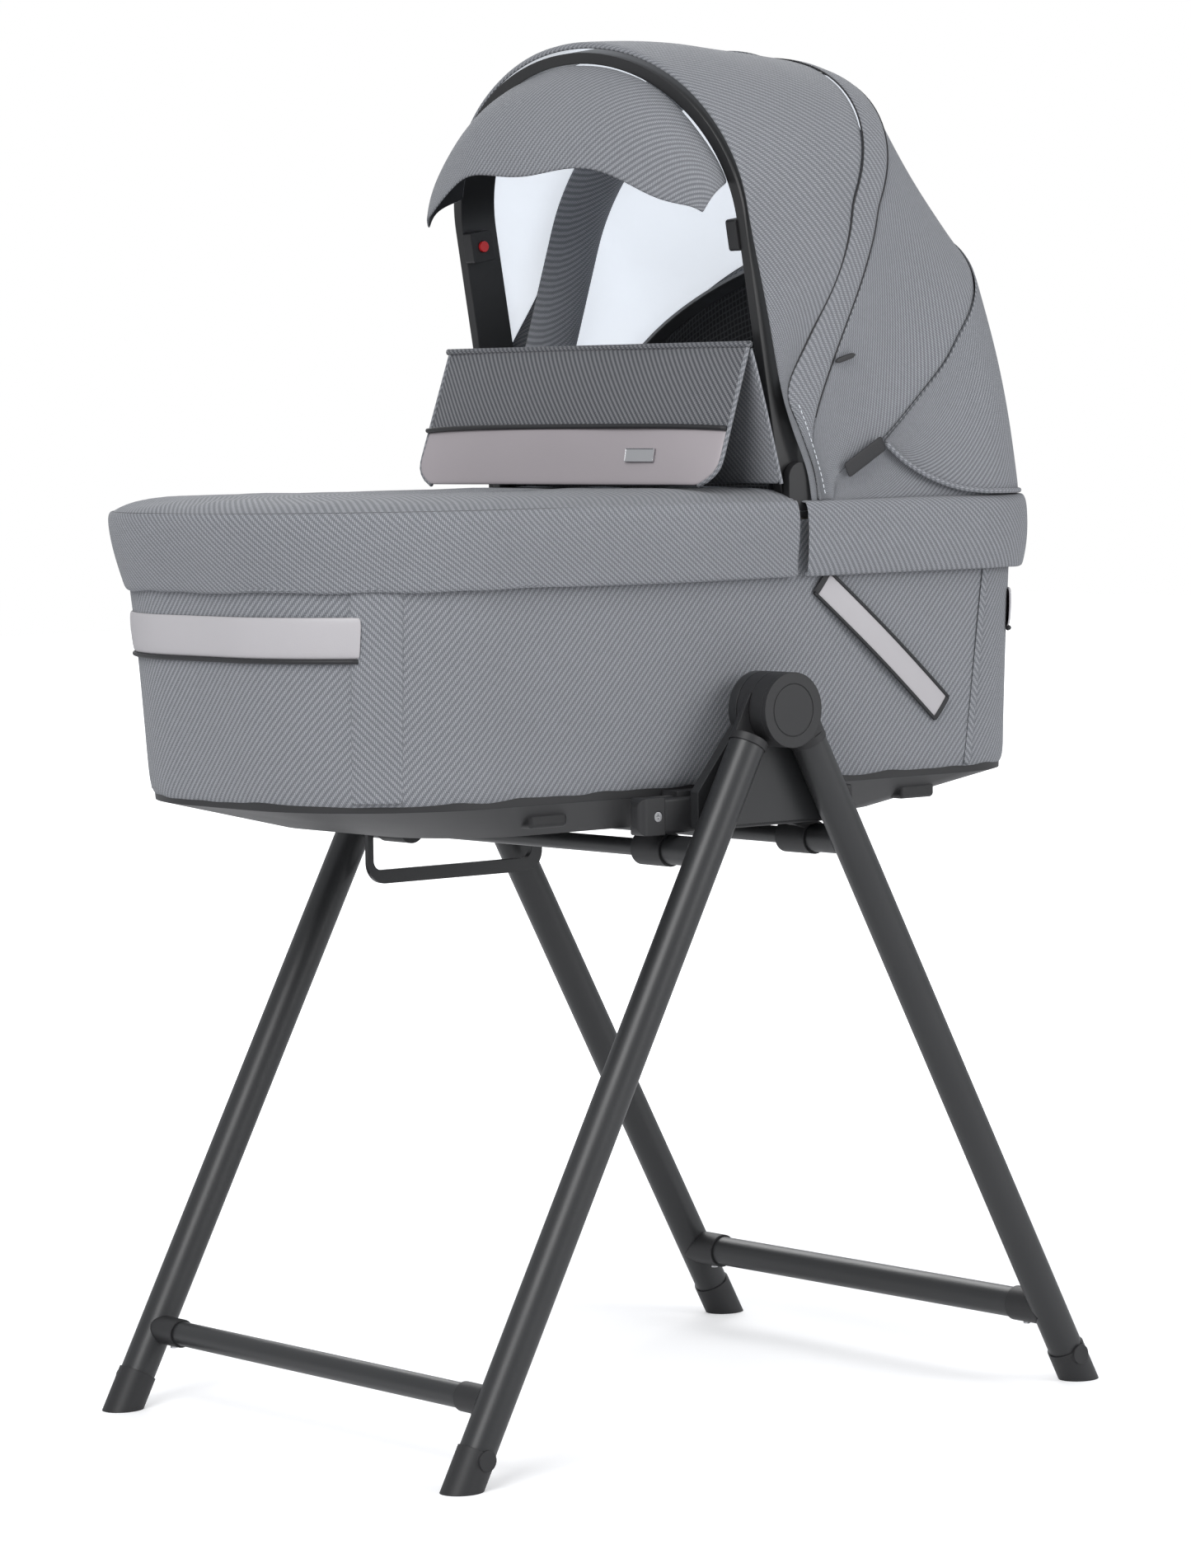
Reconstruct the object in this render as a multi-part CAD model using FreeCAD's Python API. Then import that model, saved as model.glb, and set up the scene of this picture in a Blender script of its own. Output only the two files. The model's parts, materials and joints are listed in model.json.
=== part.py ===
import FreeCAD, Part
import math
import os

# Bassinet on a folding stand. Millimetres, +Z up.
# Every piece is modelled about the hub axis: x = 0, z = 0 is the centre of the two leg hubs,
# -X is the foot end, +X the head end. save() then moves it to the row frame, whose origin
# is on the floor under the middle of the carrycot.

V = FreeCAD.Vector

# ---- overall sizes -------------------------------------------------------------------------
HUB_HEIGHT = 638.0        # hub axis above the floor
HUB_SHIFT = 30.0          # hub axis towards the head end, from the middle of the carrycot
LEG_PLANE = 248.5         # middle of each leg from the centre plane
FOOT_SPREAD = 364.0       # foot centre from the hub axis, along X
SKIN = 0.3                # gap kept between faces of separate pieces
RUN = 0.05                # radial clearance of a turning pin

# ---- stand ---------------------------------------------------------------------------------
LEG_R = 16.0
LEG_WALL = 1.8
LEG_OFFSET = 17.5         # leg axis from the hub centre
KNUCKLE_R = LEG_R + 1.0    # moulded socket at the top of a leg
KNUCKLE_START = 36.0      # along the leg, from the hub centre's level
KNUCKLE_END = 43.0
PLUG_LENGTH = 32.0
HUB_R = 33.0
HUB_PIN_R = 7.0
CAP_DEPTH = 5.0
BADGE_R = 22.5
FOOT_CAP_R = LEG_R + 1.4
FOOT_CAP_LENGTH = 36.0
FOOT_SOLE = 3.0
UPPER_BAR_DROP = 120.0    # upper crossbars below the hub axis
UPPER_BAR_R = 7.6
SLEEVE_R = 15.0
SLEEVE_IN = 165.0         # inner end of a sleeve from the centre plane
SLEEVE_OUT = 203.0
STUB_R = 13.0             # stub between a sleeve and its leg
LOWER_BAR_RISE = 70.0     # lower crossbars above the floor
FRONT_LOWER_R = 11.0
REAR_LOWER_R = 14.0
COLLAR_LENGTH = 26.0
COLLAR_WALL = 2.0
SCREW_R = 3.2
SCREW_HEAD = 1.6
FOLD = 54.0               # front frame swings this far towards the rear frame

# ---- carrier between the hubs --------------------------------------------------------------
RAIL_IN = 204.0
RAIL_DEPTH = 17.5
RAIL_TOP = -73.0
RAIL_HEIGHT = 31.0
RAIL_FRONT = -135.0
RAIL_REAR = 112.0
RAIL_CAP_LENGTH = 27.0
WEB_GAP = 1.0             # running gap between a web and its knuckle
WEB_THICK = LEG_PLANE - LEG_R - WEB_GAP - RAIL_IN - RAIL_DEPTH   # from that gap to the rail's face
BAIL_IN = 207.0
BAIL_THICK = 5.0
BAIL_WIDTH = 13.0
BAIL_EYE_R = 19.5
BAIL_DROP = 175.0         # lowest edge of the bail below the hub axis

# ---- carrycot: plan outlines (foot end, head end, half width, foot corner, head corner) ------
TUB_LOW = (-425.0, 385.0, 198.0, 150.0, 110.0)
TUB_HIGH = (-449.0, 393.0, 212.0, 172.0, 122.0)
TUB_BOTTOM = -68.0
TUB_TOP = 165.0
FABRIC = 2.5
BOARD = 4.0
LINING = 2.0
HULL_RIM = -40.0
HULL_WALL = 4.0
HULL_KNEE = -73.0
HULL_FLOOR = -103.0
HULL_LOW = (-290.0, 245.0, 150.0, 90.0, 80.0)
LEDGE = 9.0
BASE_BOARD = 4.0
MATTRESS = 44.0
RIM_HEIGHT = 5.5
LUG_SIZE = (42.0, 24.0, 22.0)
LUG_X = (-201.0, 234.0)
LUG_Y = 166.0
STUD_X = (-70.0, 70.0)
STUD_HALF = 18.0
STUD_THICK = 6.0
STUD_DEPTH = 22.0
STUD_FLANGE = 4.2

APRON_LOW = (-448.5, 405.0, 217.0, 178.0, 128.0)
APRON_HIGH = (-475.0, 415.0, 222.0, 200.0, 138.0)
APRON_HEM = TUB_TOP - 52.0
APRON_EDGE = TUB_TOP + 15.0
APRON_CROWN = TUB_TOP + 29.0
APRON_CROWN_INSET = 36.0
APRON_WALL = 3.0
APRON_REAR = 44.0
HEAD_SKIRT_FRONT = 76.0
HEAD_SKIRT_COLLAR = 18.0
FOOT_BAND = (57.0, 92.0, -392.0)   # low edge, high edge, where it stops towards the head

HANDLE_TOP = (88.0, 108.0)
HANDLE_FOOT = (240.0, -12.0)
HANDLE_WIDTH = 27.0
HANDLE_THICK = 3.0

# ---- hood ----------------------------------------------------------------------------------
PIVOT_X = 68.0
PIVOT_Z = TUB_TOP + 30.0
PIVOT_PIN_R = 5.0
FRONT_LEAN = -9.5         # degrees from upright, towards the head end
MID_LEAN = 17.5
REAR_LEAN = 50.7
CURTAIN_LEAN = 91.3
# half width, crown radius from the pivot, height of the arched part
FRONT_ARCH = (203.0, 396.0, 154.0)
MID_ARCH = (188.5, 405.5, 165.0)
REAR_ARCH = (181.5, 349.5, 145.0)
FRONT_COVER = (205.0, 404.5, 156.0)
MID_COVER = (204.0, 408.0, 165.0)
REAR_COVER = (207.0, 352.0, 145.0)
CURTAIN_COVER = (216.5, 345.0, 150.0)
FRONT_BOW = (40.0, 10.0)  # width fore and aft, thickness
THIN_BOW = (12.0, 6.0)
BRACKET_X = (50.0, 86.0)
BRACKET_TOP = PIVOT_Z + 19.0
BRACKET_THICK = 8.0
HOOD_CLOTH = 2.5
COVER_START = 26.0        # the cloth begins this far from the pivot

VISOR_SPREAD = (24.0, 156.0)
VISOR_STEPS = 12
VISOR_THICK = 3.0
VISOR_HEM = (197.0, -25.0, -45.0, PIVOT_Z + 253.0, 34.0)

CLIP_RISE = 225.0         # along the bow, from the pivot
CLIP_SIZE = (28.0, 26.0, 13.0)
BUTTON_R = 5.0
BUTTON_DEPTH = 8.0
BUTTON_PROUD = 2.5
BUTTON_TRAVEL = 2.0

RIDGE = (5.0, PIVOT_Z + 123.0)      # ridge of the folded windscreen
SCREEN_FRONT = (-33.0, PIVOT_Z)
SCREEN_REAR = (36.0, PIVOT_Z)
SCREEN_THICK = 4.0
SCREEN_HALF = 202.0
SCREEN_BEAD = 2.4


# ---- small helpers -------------------------------------------------------------------------
def save(name, *shapes):
    """One STEP file per piece, moved from the hub frame to the row frame."""
    solids = [s.copy() for shape in shapes for s in shape.Solids]
    for s in solids:
        s.translate(V(HUB_SHIFT, 0, HUB_HEIGHT))
    shape = solids[0] if len(solids) == 1 else Part.makeCompound(solids)
    shape.exportStep("parts/%s.step" % name)
    box = shape.BoundBox
    print("%-24s %2d solids %9.1f cm3  z %7.1f to %7.1f"
          % (name, len(solids), shape.Volume / 1000, box.ZMin, box.ZMax))


def far_copy(shape):
    """The same piece on the other side of the centre plane."""
    return shape.mirror(V(0, 0, 0), V(0, 1, 0))


def pair(shape):
    return [shape, far_copy(shape)]


def rod(start, direction, radius, length):
    return Part.makeCylinder(radius, length, start, direction)


def y_rod(x, z, y0, y1, radius):
    return rod(V(x, y0, z), V(0, 1, 0), radius, y1 - y0)


def block(x0, x1, y0, y1, z0, z1):
    return Part.makeBox(x1 - x0, y1 - y0, z1 - z0, V(x0, y0, z0))


def plate(points, y0, y1):
    """A flat piece in an X-Z outline, between two Y values."""
    corners = [V(x, y0, z) for x, z in points]
    wire = Part.makePolygon(corners + corners[:1])
    return Part.Face(wire).extrude(V(0, y1 - y0, 0))


# ---- legs ----------------------------------------------------------------------------------
FOOT_REACH = math.hypot(FOOT_SPREAD, HUB_HEIGHT)
LEG_LEAN = math.atan2(FOOT_SPREAD, HUB_HEIGHT) - math.asin(LEG_OFFSET / FOOT_REACH)


def leg_axis(end, side=-1):
    """Start point beside the hub and direction down the leg; end is -1 front, +1 rear."""
    start = V(end * LEG_OFFSET * math.cos(LEG_LEAN), side * LEG_PLANE, LEG_OFFSET * math.sin(LEG_LEAN))
    return start, V(end * math.sin(LEG_LEAN), 0, -math.cos(LEG_LEAN))


def leg_length():
    return (HUB_HEIGHT + LEG_OFFSET * math.sin(LEG_LEAN)) / math.cos(LEG_LEAN)


def along_leg(end, s, side=-1):
    start, direction = leg_axis(end, side)
    return start + direction * s


def leg_point_at(end, z):
    """x of the leg axis at height z in the hub frame."""
    start, direction = leg_axis(end)
    return start.x + direction.x * (z - start.z) / direction.z


def above_floor(shape, rise):
    keep = block(-900, 900, -900, 900, -HUB_HEIGHT + rise, 900)
    return shape.common(keep)


def leg_tube(end):
    start, direction = leg_axis(end)
    length = leg_length() - KNUCKLE_END + LEG_R
    outer = rod(along_leg(end, KNUCKLE_END), direction, LEG_R, length)
    inner = rod(along_leg(end, KNUCKLE_END), direction, LEG_R - LEG_WALL, length)
    return above_floor(outer.cut(inner), FOOT_SOLE)


def leg_envelope(end):
    start, direction = leg_axis(end)
    return rod(along_leg(end, KNUCKLE_END), direction, LEG_R, leg_length())


def knuckle(end):
    """Hub half: the front one fills the inner half of the hub, the rear one the outer half."""
    start, direction = leg_axis(end)
    inner, outer = -LEG_PLANE + LEG_R, -LEG_PLANE - LEG_R
    split = -LEG_PLANE
    y0, y1 = (split + SKIN, inner) if end < 0 else (outer, split - SKIN)
    disc = y_rod(0, 0, y0, y1, HUB_R)
    arm = rod(start, direction, KNUCKLE_R, KNUCKLE_END)
    arm = arm.common(block(-200, 200, y0, y1, -200, 200))
    socket = rod(along_leg(end, KNUCKLE_START), direction, KNUCKLE_R, KNUCKLE_END - KNUCKLE_START)
    plug = rod(along_leg(end, KNUCKLE_END), direction, LEG_R - LEG_WALL - 0.1, PLUG_LENGTH)
    body = disc.fuse([arm, socket, plug])
    return body.cut(y_rod(0, 0, outer - 1, inner + 1, HUB_PIN_R + RUN)).removeSplitter()


def foot_cap(end):
    start, direction = leg_axis(end)
    top = leg_length() - FOOT_CAP_LENGTH
    sleeve = rod(along_leg(end, top), direction, FOOT_CAP_R, FOOT_CAP_LENGTH + 2 * LEG_R)
    badge = rod(along_leg(end, top + 6) + V(0, -FOOT_CAP_R + 3.5, 0), V(0, -1, 0), 9, 4.3)
    tube = above_floor(leg_envelope(end), FOOT_SOLE)
    return above_floor(sleeve.fuse(badge).cut(tube), 0).removeSplitter()


def crossbar(end, z, radius):
    """Tube between the two legs of a frame, its ends saddled on them."""
    x = leg_point_at(end, z)
    bar = y_rod(x, z, -LEG_PLANE, LEG_PLANE, radius)
    bar = bar.cut(y_rod(x, z, -LEG_PLANE, LEG_PLANE, radius - LEG_WALL))
    near = leg_envelope(end)
    return bar.cut(near).cut(far_copy(near)), x


def lower_bar(end, radius):
    z = -HUB_HEIGHT + LOWER_BAR_RISE
    bar, x = crossbar(end, z, radius)
    ends = y_rod(x, z, -LEG_PLANE, -LEG_PLANE + LEG_R + COLLAR_LENGTH, radius + COLLAR_WALL)
    collar = ends.cut(leg_envelope(end)).cut(y_rod(x, z, -LEG_PLANE, 0, radius))
    screw_y = -LEG_PLANE + LEG_R + COLLAR_LENGTH / 2
    head_z = z - radius - COLLAR_WALL
    head = rod(V(x, screw_y, head_z - SCREW_HEAD), V(0, 0, 1), SCREW_R, SCREW_HEAD)
    return bar, collar, head.cut(ends)


def upper_bar(end, ribbed):
    """Thin upper crossbar with a sleeve and a fatter stub at each side."""
    z = -UPPER_BAR_DROP
    x = leg_point_at(end, z)
    stub_in = -LEG_PLANE
    bar = y_rod(x, z, -SLEEVE_OUT, SLEEVE_OUT, UPPER_BAR_R)
    stub = y_rod(x, z, stub_in, -SLEEVE_OUT, STUB_R).cut(leg_envelope(end))
    sleeve = y_rod(x, z, -SLEEVE_OUT + SKIN, -SLEEVE_IN, SLEEVE_R)
    sleeve = sleeve.cut(y_rod(x, z, -SLEEVE_OUT, -SLEEVE_IN, UPPER_BAR_R))
    if ribbed:
        rail_bottom = RAIL_TOP - RAIL_HEIGHT
        rib = plate([(x - 34, rail_bottom), (x, rail_bottom), (x, z + UPPER_BAR_R + 2), (x - 10, z + 9)],
                    -SLEEVE_OUT + SKIN, -SLEEVE_OUT + 8)
        foot = plate([(x - 34, rail_bottom), (x, rail_bottom), (x, rail_bottom - 4), (x - 24, rail_bottom - 4)],
                     -BAIL_IN + 2 * SKIN, -SLEEVE_OUT + 8)
        sleeve = sleeve.fuse([far_side_clear(rib, x, z), far_side_clear(foot, x, z)])
        sleeve = sleeve.removeSplitter()
    return bar.fuse(pair(stub)), sleeve, x


def far_side_clear(shape, x, z):
    """Leaves room for the stub and the bar beside a sleeve."""
    stub = y_rod(x, z, -LEG_PLANE, -SLEEVE_OUT, STUB_R + SKIN)
    return shape.cut(stub).cut(y_rod(x, z, -SLEEVE_OUT, 0, UPPER_BAR_R))


def hub_pin():
    """Pivot pin through web and knuckles, under the round cap."""
    inner = -LEG_PLANE + LEG_R + WEB_GAP
    return y_rod(0, 0, -LEG_PLANE - LEG_R - SKIN, inner + WEB_THICK, HUB_PIN_R)


def hub_cap():
    face = -LEG_PLANE - LEG_R - SKIN
    cap = y_rod(0, 0, face - CAP_DEPTH, face, HUB_R)
    ring = y_rod(0, 0, face - CAP_DEPTH, face - CAP_DEPTH + 0.6, BADGE_R + 0.8)
    ring = ring.cut(y_rod(0, 0, face - CAP_DEPTH, face - CAP_DEPTH + 0.6, BADGE_R))
    return cap.cut(ring)


# ---- carrier -------------------------------------------------------------------------------
def socket_cut(x):
    centre = rail_middle()
    return block(x - STUD_HALF - SKIN, x + STUD_HALF + SKIN,
                 -centre - STUD_THICK / 2 - SKIN, -centre + STUD_THICK / 2 + SKIN,
                 RAIL_TOP - STUD_DEPTH - 1, RAIL_TOP + 1)


def rail_middle():
    return RAIL_IN + RAIL_DEPTH / 2


def carrier_rail():
    bar = block(RAIL_FRONT + RAIL_CAP_LENGTH, RAIL_REAR, -RAIL_IN - RAIL_DEPTH, -RAIL_IN,
                RAIL_TOP - RAIL_HEIGHT, RAIL_TOP)
    edges = [e for e in bar.Edges if abs(e.tangentAt(e.FirstParameter).x) > 0.99]
    bar = bar.makeFillet(3.0, edges)
    for x in STUD_X:
        bar = bar.cut(socket_cut(x))
    relief = y_rod(leg_point_at(1, -UPPER_BAR_DROP), -UPPER_BAR_DROP, -BAIL_IN - BAIL_THICK - 2 * SKIN,
                   -BAIL_IN + 2 * SKIN, BAIL_EYE_R + 2 * SKIN)
    return bar.cut(relief)


def rail_end_cap():
    """Moulded nose on the foot end of a rail, rounded in plan and in side view."""
    x1 = RAIL_FRONT + RAIL_CAP_LENGTH - SKIN / 2
    nose = block(RAIL_FRONT, x1, -RAIL_IN - RAIL_DEPTH - 1, -RAIL_IN + 0.5,
                 RAIL_TOP - RAIL_HEIGHT - 0.5, RAIL_TOP + 1)
    front = [e for e in nose.Edges if abs(e.CenterOfMass.x - RAIL_FRONT) < 0.01]
    nose = nose.makeFillet(7.0, front)
    screw = rail_screw_place()
    return nose.cut(rod(screw, V(0, 1, 0), SCREW_R + 1.4, 2.0))


def rail_screw_place():
    return V(RAIL_FRONT + RAIL_CAP_LENGTH - 7.5, -RAIL_IN - RAIL_DEPTH - 1, RAIL_TOP - RAIL_HEIGHT / 2)


def rail_screw():
    start = rail_screw_place() + V(0, 0.4, 0)
    head = rod(start, V(0, 1, 0), SCREW_R + 1.2, SCREW_HEAD)
    slot = block(start.x - 2.4, start.x + 2.4, start.y - 1, start.y + 0.8, start.z - 0.5, start.z + 0.5)
    cross = block(start.x - 0.5, start.x + 0.5, start.y - 1, start.y + 0.8, start.z - 2.4, start.z + 2.4)
    return head.cut(slot).cut(cross)


def hub_web():
    """Plate that carries a rail from the hub."""
    y1 = -LEG_PLANE + LEG_R + WEB_GAP
    y1, y0 = y1 + WEB_THICK, y1
    low = RAIL_TOP - RAIL_HEIGHT + 4
    web = plate([(-78, low), (78, low), (78, RAIL_TOP + 4), (HUB_R - 3, -12), (-HUB_R + 3, -12),
                 (-78, RAIL_TOP + 4)], y0, y1)
    web = web.fuse(y_rod(0, 0, y0, y1, HUB_R))
    return web.cut(y_rod(0, 0, y0 - 1, y1 + 1, HUB_PIN_R)).removeSplitter()


def bail():
    """Flat U-shaped spreader bail: an eye on the rear stub, a hook beyond the front stub."""
    z = -UPPER_BAR_DROP
    xf, xr = leg_point_at(-1, z), leg_point_at(1, z)
    y0, y1 = BAIL_IN, BAIL_IN + BAIL_THICK
    outer_f, inner_f = xf - BAIL_EYE_R, xf - STUB_R - SKIN
    inner_r, outer_r = xr + BAIL_EYE_R - BAIL_WIDTH, xr + BAIL_EYE_R
    low, high = -BAIL_DROP, -BAIL_DROP + BAIL_WIDTH
    loop = plate([(outer_f, z + 8), (outer_f, low), (outer_r, low), (outer_r, z), (inner_r, z),
                  (inner_r, high), (inner_f, high), (inner_f, z + 8)], y0, y1)
    corners = [e for e in loop.Edges
               if abs(e.tangentAt(e.FirstParameter).y) > 0.99 and e.CenterOfMass.z < high + 1]
    outer = [e for e in corners if e.CenterOfMass.z < low + 1]
    inner = [e for e in corners if e.CenterOfMass.z > high - 1]
    loop = loop.makeFillet(20.0, outer)
    inner = [e for e in loop.Edges
             if abs(e.tangentAt(e.FirstParameter).y) > 0.99 and abs(e.CenterOfMass.z - high) < 0.01]
    loop = loop.makeFillet(9.0, inner)
    eye = y_rod(xr, z, y0, y1, BAIL_EYE_R)
    return loop.fuse(eye).cut(y_rod(xr, z, y0 - 1, y1 + 1, STUB_R + RUN)).removeSplitter()


# ---- carrycot shells -----------------------------------------------------------------------
def plan_wire(outline, z, inset=0.0):
    """Rounded plan outline at height z, as four lines and four arcs."""
    xa, xb, half, ra, rb = outline
    xa, xb, half = xa + inset, xb - inset, half - inset
    ra, rb = max(ra - inset, 8.0), max(rb - inset, 8.0)
    ra, rb = min(ra, half - 1), min(rb, half - 1)
    d = math.sqrt(0.5)
    points = [(xa + ra, -half), (xb - rb, -half), (xb - rb + rb * d, -half + rb - rb * d), (xb, -half + rb),
              (xb, half - rb), (xb - rb + rb * d, half - rb + rb * d), (xb - rb, half),
              (xa + ra, half), (xa + ra - ra * d, half - ra + ra * d), (xa, half - ra),
              (xa, -half + ra), (xa + ra - ra * d, -half + ra - ra * d)]
    p = [V(x, y, z) for x, y in points]
    edges = [Part.LineSegment(p[0], p[1]), Part.Arc(p[1], p[2], p[3]), Part.LineSegment(p[3], p[4]),
             Part.Arc(p[4], p[5], p[6]), Part.LineSegment(p[6], p[7]), Part.Arc(p[7], p[8], p[9]),
             Part.LineSegment(p[9], p[10]), Part.Arc(p[10], p[11], p[0])]
    return Part.Wire([e.toShape() for e in edges])


def between(low, high, t):
    return tuple(a + (b - a) * t for a, b in zip(low, high))


def tub_outline(z):
    return between(TUB_LOW, TUB_HIGH, (z - TUB_BOTTOM) / (TUB_TOP - TUB_BOTTOM))


def apron_outline(z):
    return between(APRON_LOW, APRON_HIGH, (z - APRON_HEM) / (APRON_EDGE - APRON_HEM))


def prism(outline, z0, z1, inset=0.0):
    """Solid between two heights of an outline given as a function of height."""
    wires = [plan_wire(outline(z), z, inset) for z in (z0, z1)]
    return Part.makeLoft(wires, True, True)


def tub_layer(z0, z1, outer, inner):
    return prism(tub_outline, z0, z1, outer).cut(prism(tub_outline, z0 - 1, z1 + 1, inner))


BOARD_INSET = FABRIC + SKIN
LINER_INSET = BOARD_INSET + BOARD + SKIN
CAVITY_INSET = LINER_INSET + LINING


def hull():
    """Moulded base tray with a boat-shaped floor, an inner ledge and four standing lugs."""
    knee = plan_wire(tub_outline(HULL_KNEE), HULL_KNEE, BOARD_INSET)
    rim = plan_wire(tub_outline(HULL_RIM), HULL_RIM, BOARD_INSET)
    floor = plan_wire(HULL_LOW, HULL_FLOOR)
    body = Part.makeLoft([rim, knee], True, True).fuse(Part.makeLoft([knee, floor], True, True))
    knee_in = plan_wire(tub_outline(HULL_KNEE), HULL_KNEE, BOARD_INSET + HULL_WALL)
    rim_in = plan_wire(tub_outline(HULL_RIM), HULL_RIM + 1, BOARD_INSET + HULL_WALL)
    floor_in = plan_wire(HULL_LOW, HULL_FLOOR + HULL_WALL, HULL_WALL)
    body = body.cut(Part.makeLoft([rim_in, knee_in], True, True))
    body = body.cut(Part.makeLoft([knee_in, floor_in], True, True))
    top = HULL_RIM - BASE_BOARD
    ledge = tub_layer(top - LEDGE, top, BOARD_INSET + HULL_WALL - 1, BOARD_INSET + HULL_WALL + LEDGE)
    lugs = []
    for x in LUG_X:
        lug = block(x - LUG_SIZE[0] / 2, x + LUG_SIZE[0] / 2, -LUG_Y - LUG_SIZE[1] / 2, -LUG_Y + LUG_SIZE[1] / 2,
                    HULL_KNEE - LUG_SIZE[2], HULL_KNEE)
        edges = [e for e in lug.Edges if abs(e.CenterOfMass.z - HULL_KNEE) > 1]
        lugs += pair(lug.makeFillet(4.0, edges))
    return body.fuse([ledge] + lugs).removeSplitter()


def adapter_stud(x):
    """Bracket from the hull's edge whose tongue drops into the rail's socket."""
    centre = rail_middle()
    top = TUB_BOTTOM - SKIN
    flange = block(x - STUD_HALF, x + STUD_HALF, -centre - STUD_THICK / 2, -160, top - STUD_FLANGE, top)
    tongue = block(x - STUD_HALF, x + STUD_HALF, -centre - STUD_THICK / 2, -centre + STUD_THICK / 2,
                   RAIL_TOP - STUD_DEPTH, top)
    knee = plan_wire(tub_outline(HULL_KNEE), HULL_KNEE, BOARD_INSET)
    rim = plan_wire(tub_outline(HULL_RIM), HULL_RIM, BOARD_INSET)
    hull_body = Part.makeLoft([rim, knee], True, True)
    return flange.fuse(tongue).cut(hull_body).removeSplitter()


def mattress_board():
    top = HULL_RIM
    return prism(tub_outline, top - BASE_BOARD, top, BOARD_INSET + HULL_WALL + SKIN)


def mattress():
    low = HULL_RIM + SKIN
    pad = prism(tub_outline, low, low + MATTRESS, CAVITY_INSET + SKIN)
    rims = [e for e in pad.Edges if abs(e.BoundBox.ZMax - e.BoundBox.ZMin) < 0.01 and e.CenterOfMass.z > low + 1]
    return pad.makeFillet(6.0, rims)


def rim_trim():
    low = TUB_TOP + SKIN
    return tub_layer(low, low + RIM_HEIGHT, -0.4, CAVITY_INSET)


SEAT = TUB_TOP + SKIN + RIM_HEIGHT + SKIN     # what rests on the rim starts here


def apron():
    """Quilted foot cover: a skirt over the tub's edge and a crowned top."""
    skirt = prism(apron_outline, APRON_HEM, APRON_EDGE)
    edge = plan_wire(APRON_HIGH, APRON_EDGE)
    crown = plan_wire(APRON_HIGH, APRON_CROWN, APRON_CROWN_INSET)
    body = skirt.fuse(Part.makeLoft([edge, crown], True, True))
    body = body.cut(prism(apron_outline, APRON_HEM - 1, SEAT, APRON_WALL))
    return body.common(block(-900, APRON_REAR, -400, 400, 0, 400)).removeSplitter()


def head_skirt():
    """Skirt of the hood round the head end, resting on the rim."""
    skirt = prism(apron_outline, APRON_HEM, APRON_EDGE)
    body = skirt.cut(prism(apron_outline, APRON_HEM - 1, SEAT, APRON_WALL))
    body = body.cut(prism(apron_outline, SEAT - 1, APRON_EDGE + 1, HEAD_SKIRT_COLLAR))
    body = body.common(block(HEAD_SKIRT_FRONT, 900, -400, 400, 0, 400))
    half = FRONT_ARCH[0] + 1 + BRACKET_THICK + 2
    room = block(0, BRACKET_X[1] + 1, -half, half, SEAT - 1, SEAT + 100)
    return body.cut(room).removeSplitter()


def foot_band():
    low, high, stop = FOOT_BAND
    band = tub_layer(low, high, -1.4, -SKIN)
    return band.common(block(-900, stop, -400, 400, -400, 400))


def side_handle():
    """Slanting carry strap sewn to the side of the tub, lying on its slope."""
    (x0, z0), (x1, z1) = HANDLE_TOP, HANDLE_FOOT
    length = math.hypot(x1 - x0, z1 - z0)
    strap = block(0, length, 0, HANDLE_THICK, -HANDLE_WIDTH / 2, HANDLE_WIDTH / 2)
    strap = strap.makeFillet(1.0, [e for e in strap.Edges if abs(e.tangentAt(e.FirstParameter).x) > 0.99])
    strap.rotate(V(0, 0, 0), V(0, 1, 0), math.degrees(math.atan2(z0 - z1, x1 - x0)))
    slope = math.degrees(math.atan2(TUB_HIGH[2] - TUB_LOW[2], TUB_TOP - TUB_BOTTOM))
    strap.rotate(V(0, 0, 0), V(1, 0, 0), slope)
    half = tub_outline(z0)[2]
    strap.translate(V(x0, -half - HANDLE_THICK - SKIN, z0))
    return strap


# ---- hood ----------------------------------------------------------------------------------
def arch_half(half, crown, rise, side, base):
    """One side of an arch in the Y-R plane: leg line, then a quarter of an ellipse."""
    shoulder = crown - rise
    leg = Part.LineSegment(V(side * half, base, 0), V(side * half, shoulder, 0)).toShape()
    ellipse = Part.Ellipse(V(half, shoulder, 0), V(0, crown, 0), V(0, shoulder, 0))
    a0, a1 = (0, math.pi / 2) if side > 0 else (math.pi / 2, math.pi)
    return leg, Part.ArcOfEllipse(ellipse, a0, a1).toShape()


def arch_wire(arch, thick, base):
    """Closed band of an arch: outer line, then the same line thick further in."""
    half, crown, rise = arch
    inner = (half - thick, crown - thick, rise - thick * 0.5)
    edges = []
    for a in (arch, inner):
        leg_r, arc_r = arch_half(*a, side=1, base=base)
        leg_l, arc_l = arch_half(*a, side=-1, base=base)
        edges += [leg_r, arc_r, arc_l, leg_l]
    for side in (1, -1):
        edges.append(Part.LineSegment(V(side * half, base, 0), V(side * inner[0], base, 0)).toShape())
    return Part.Wire(Part.__sortEdges__(edges))


def to_bow(shape, lean):
    """From the Y-R drawing plane to a plane through the hood pivot, leaning by lean degrees."""
    a = math.radians(lean)
    m = FreeCAD.Matrix(0, math.sin(a), math.cos(a), PIVOT_X,
                       1, 0, 0, 0,
                       0, math.cos(a), -math.sin(a), PIVOT_Z,
                       0, 0, 0, 1)
    return shape.transformGeometry(m)


def to_bow_point(y, r, n, lean):
    """y across, r up the bow, n in front of it, in the hub frame."""
    a = math.radians(lean)
    return V(PIVOT_X + r * math.sin(a) - n * math.cos(a), y, PIVOT_Z + r * math.cos(a) + n * math.sin(a))


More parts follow.
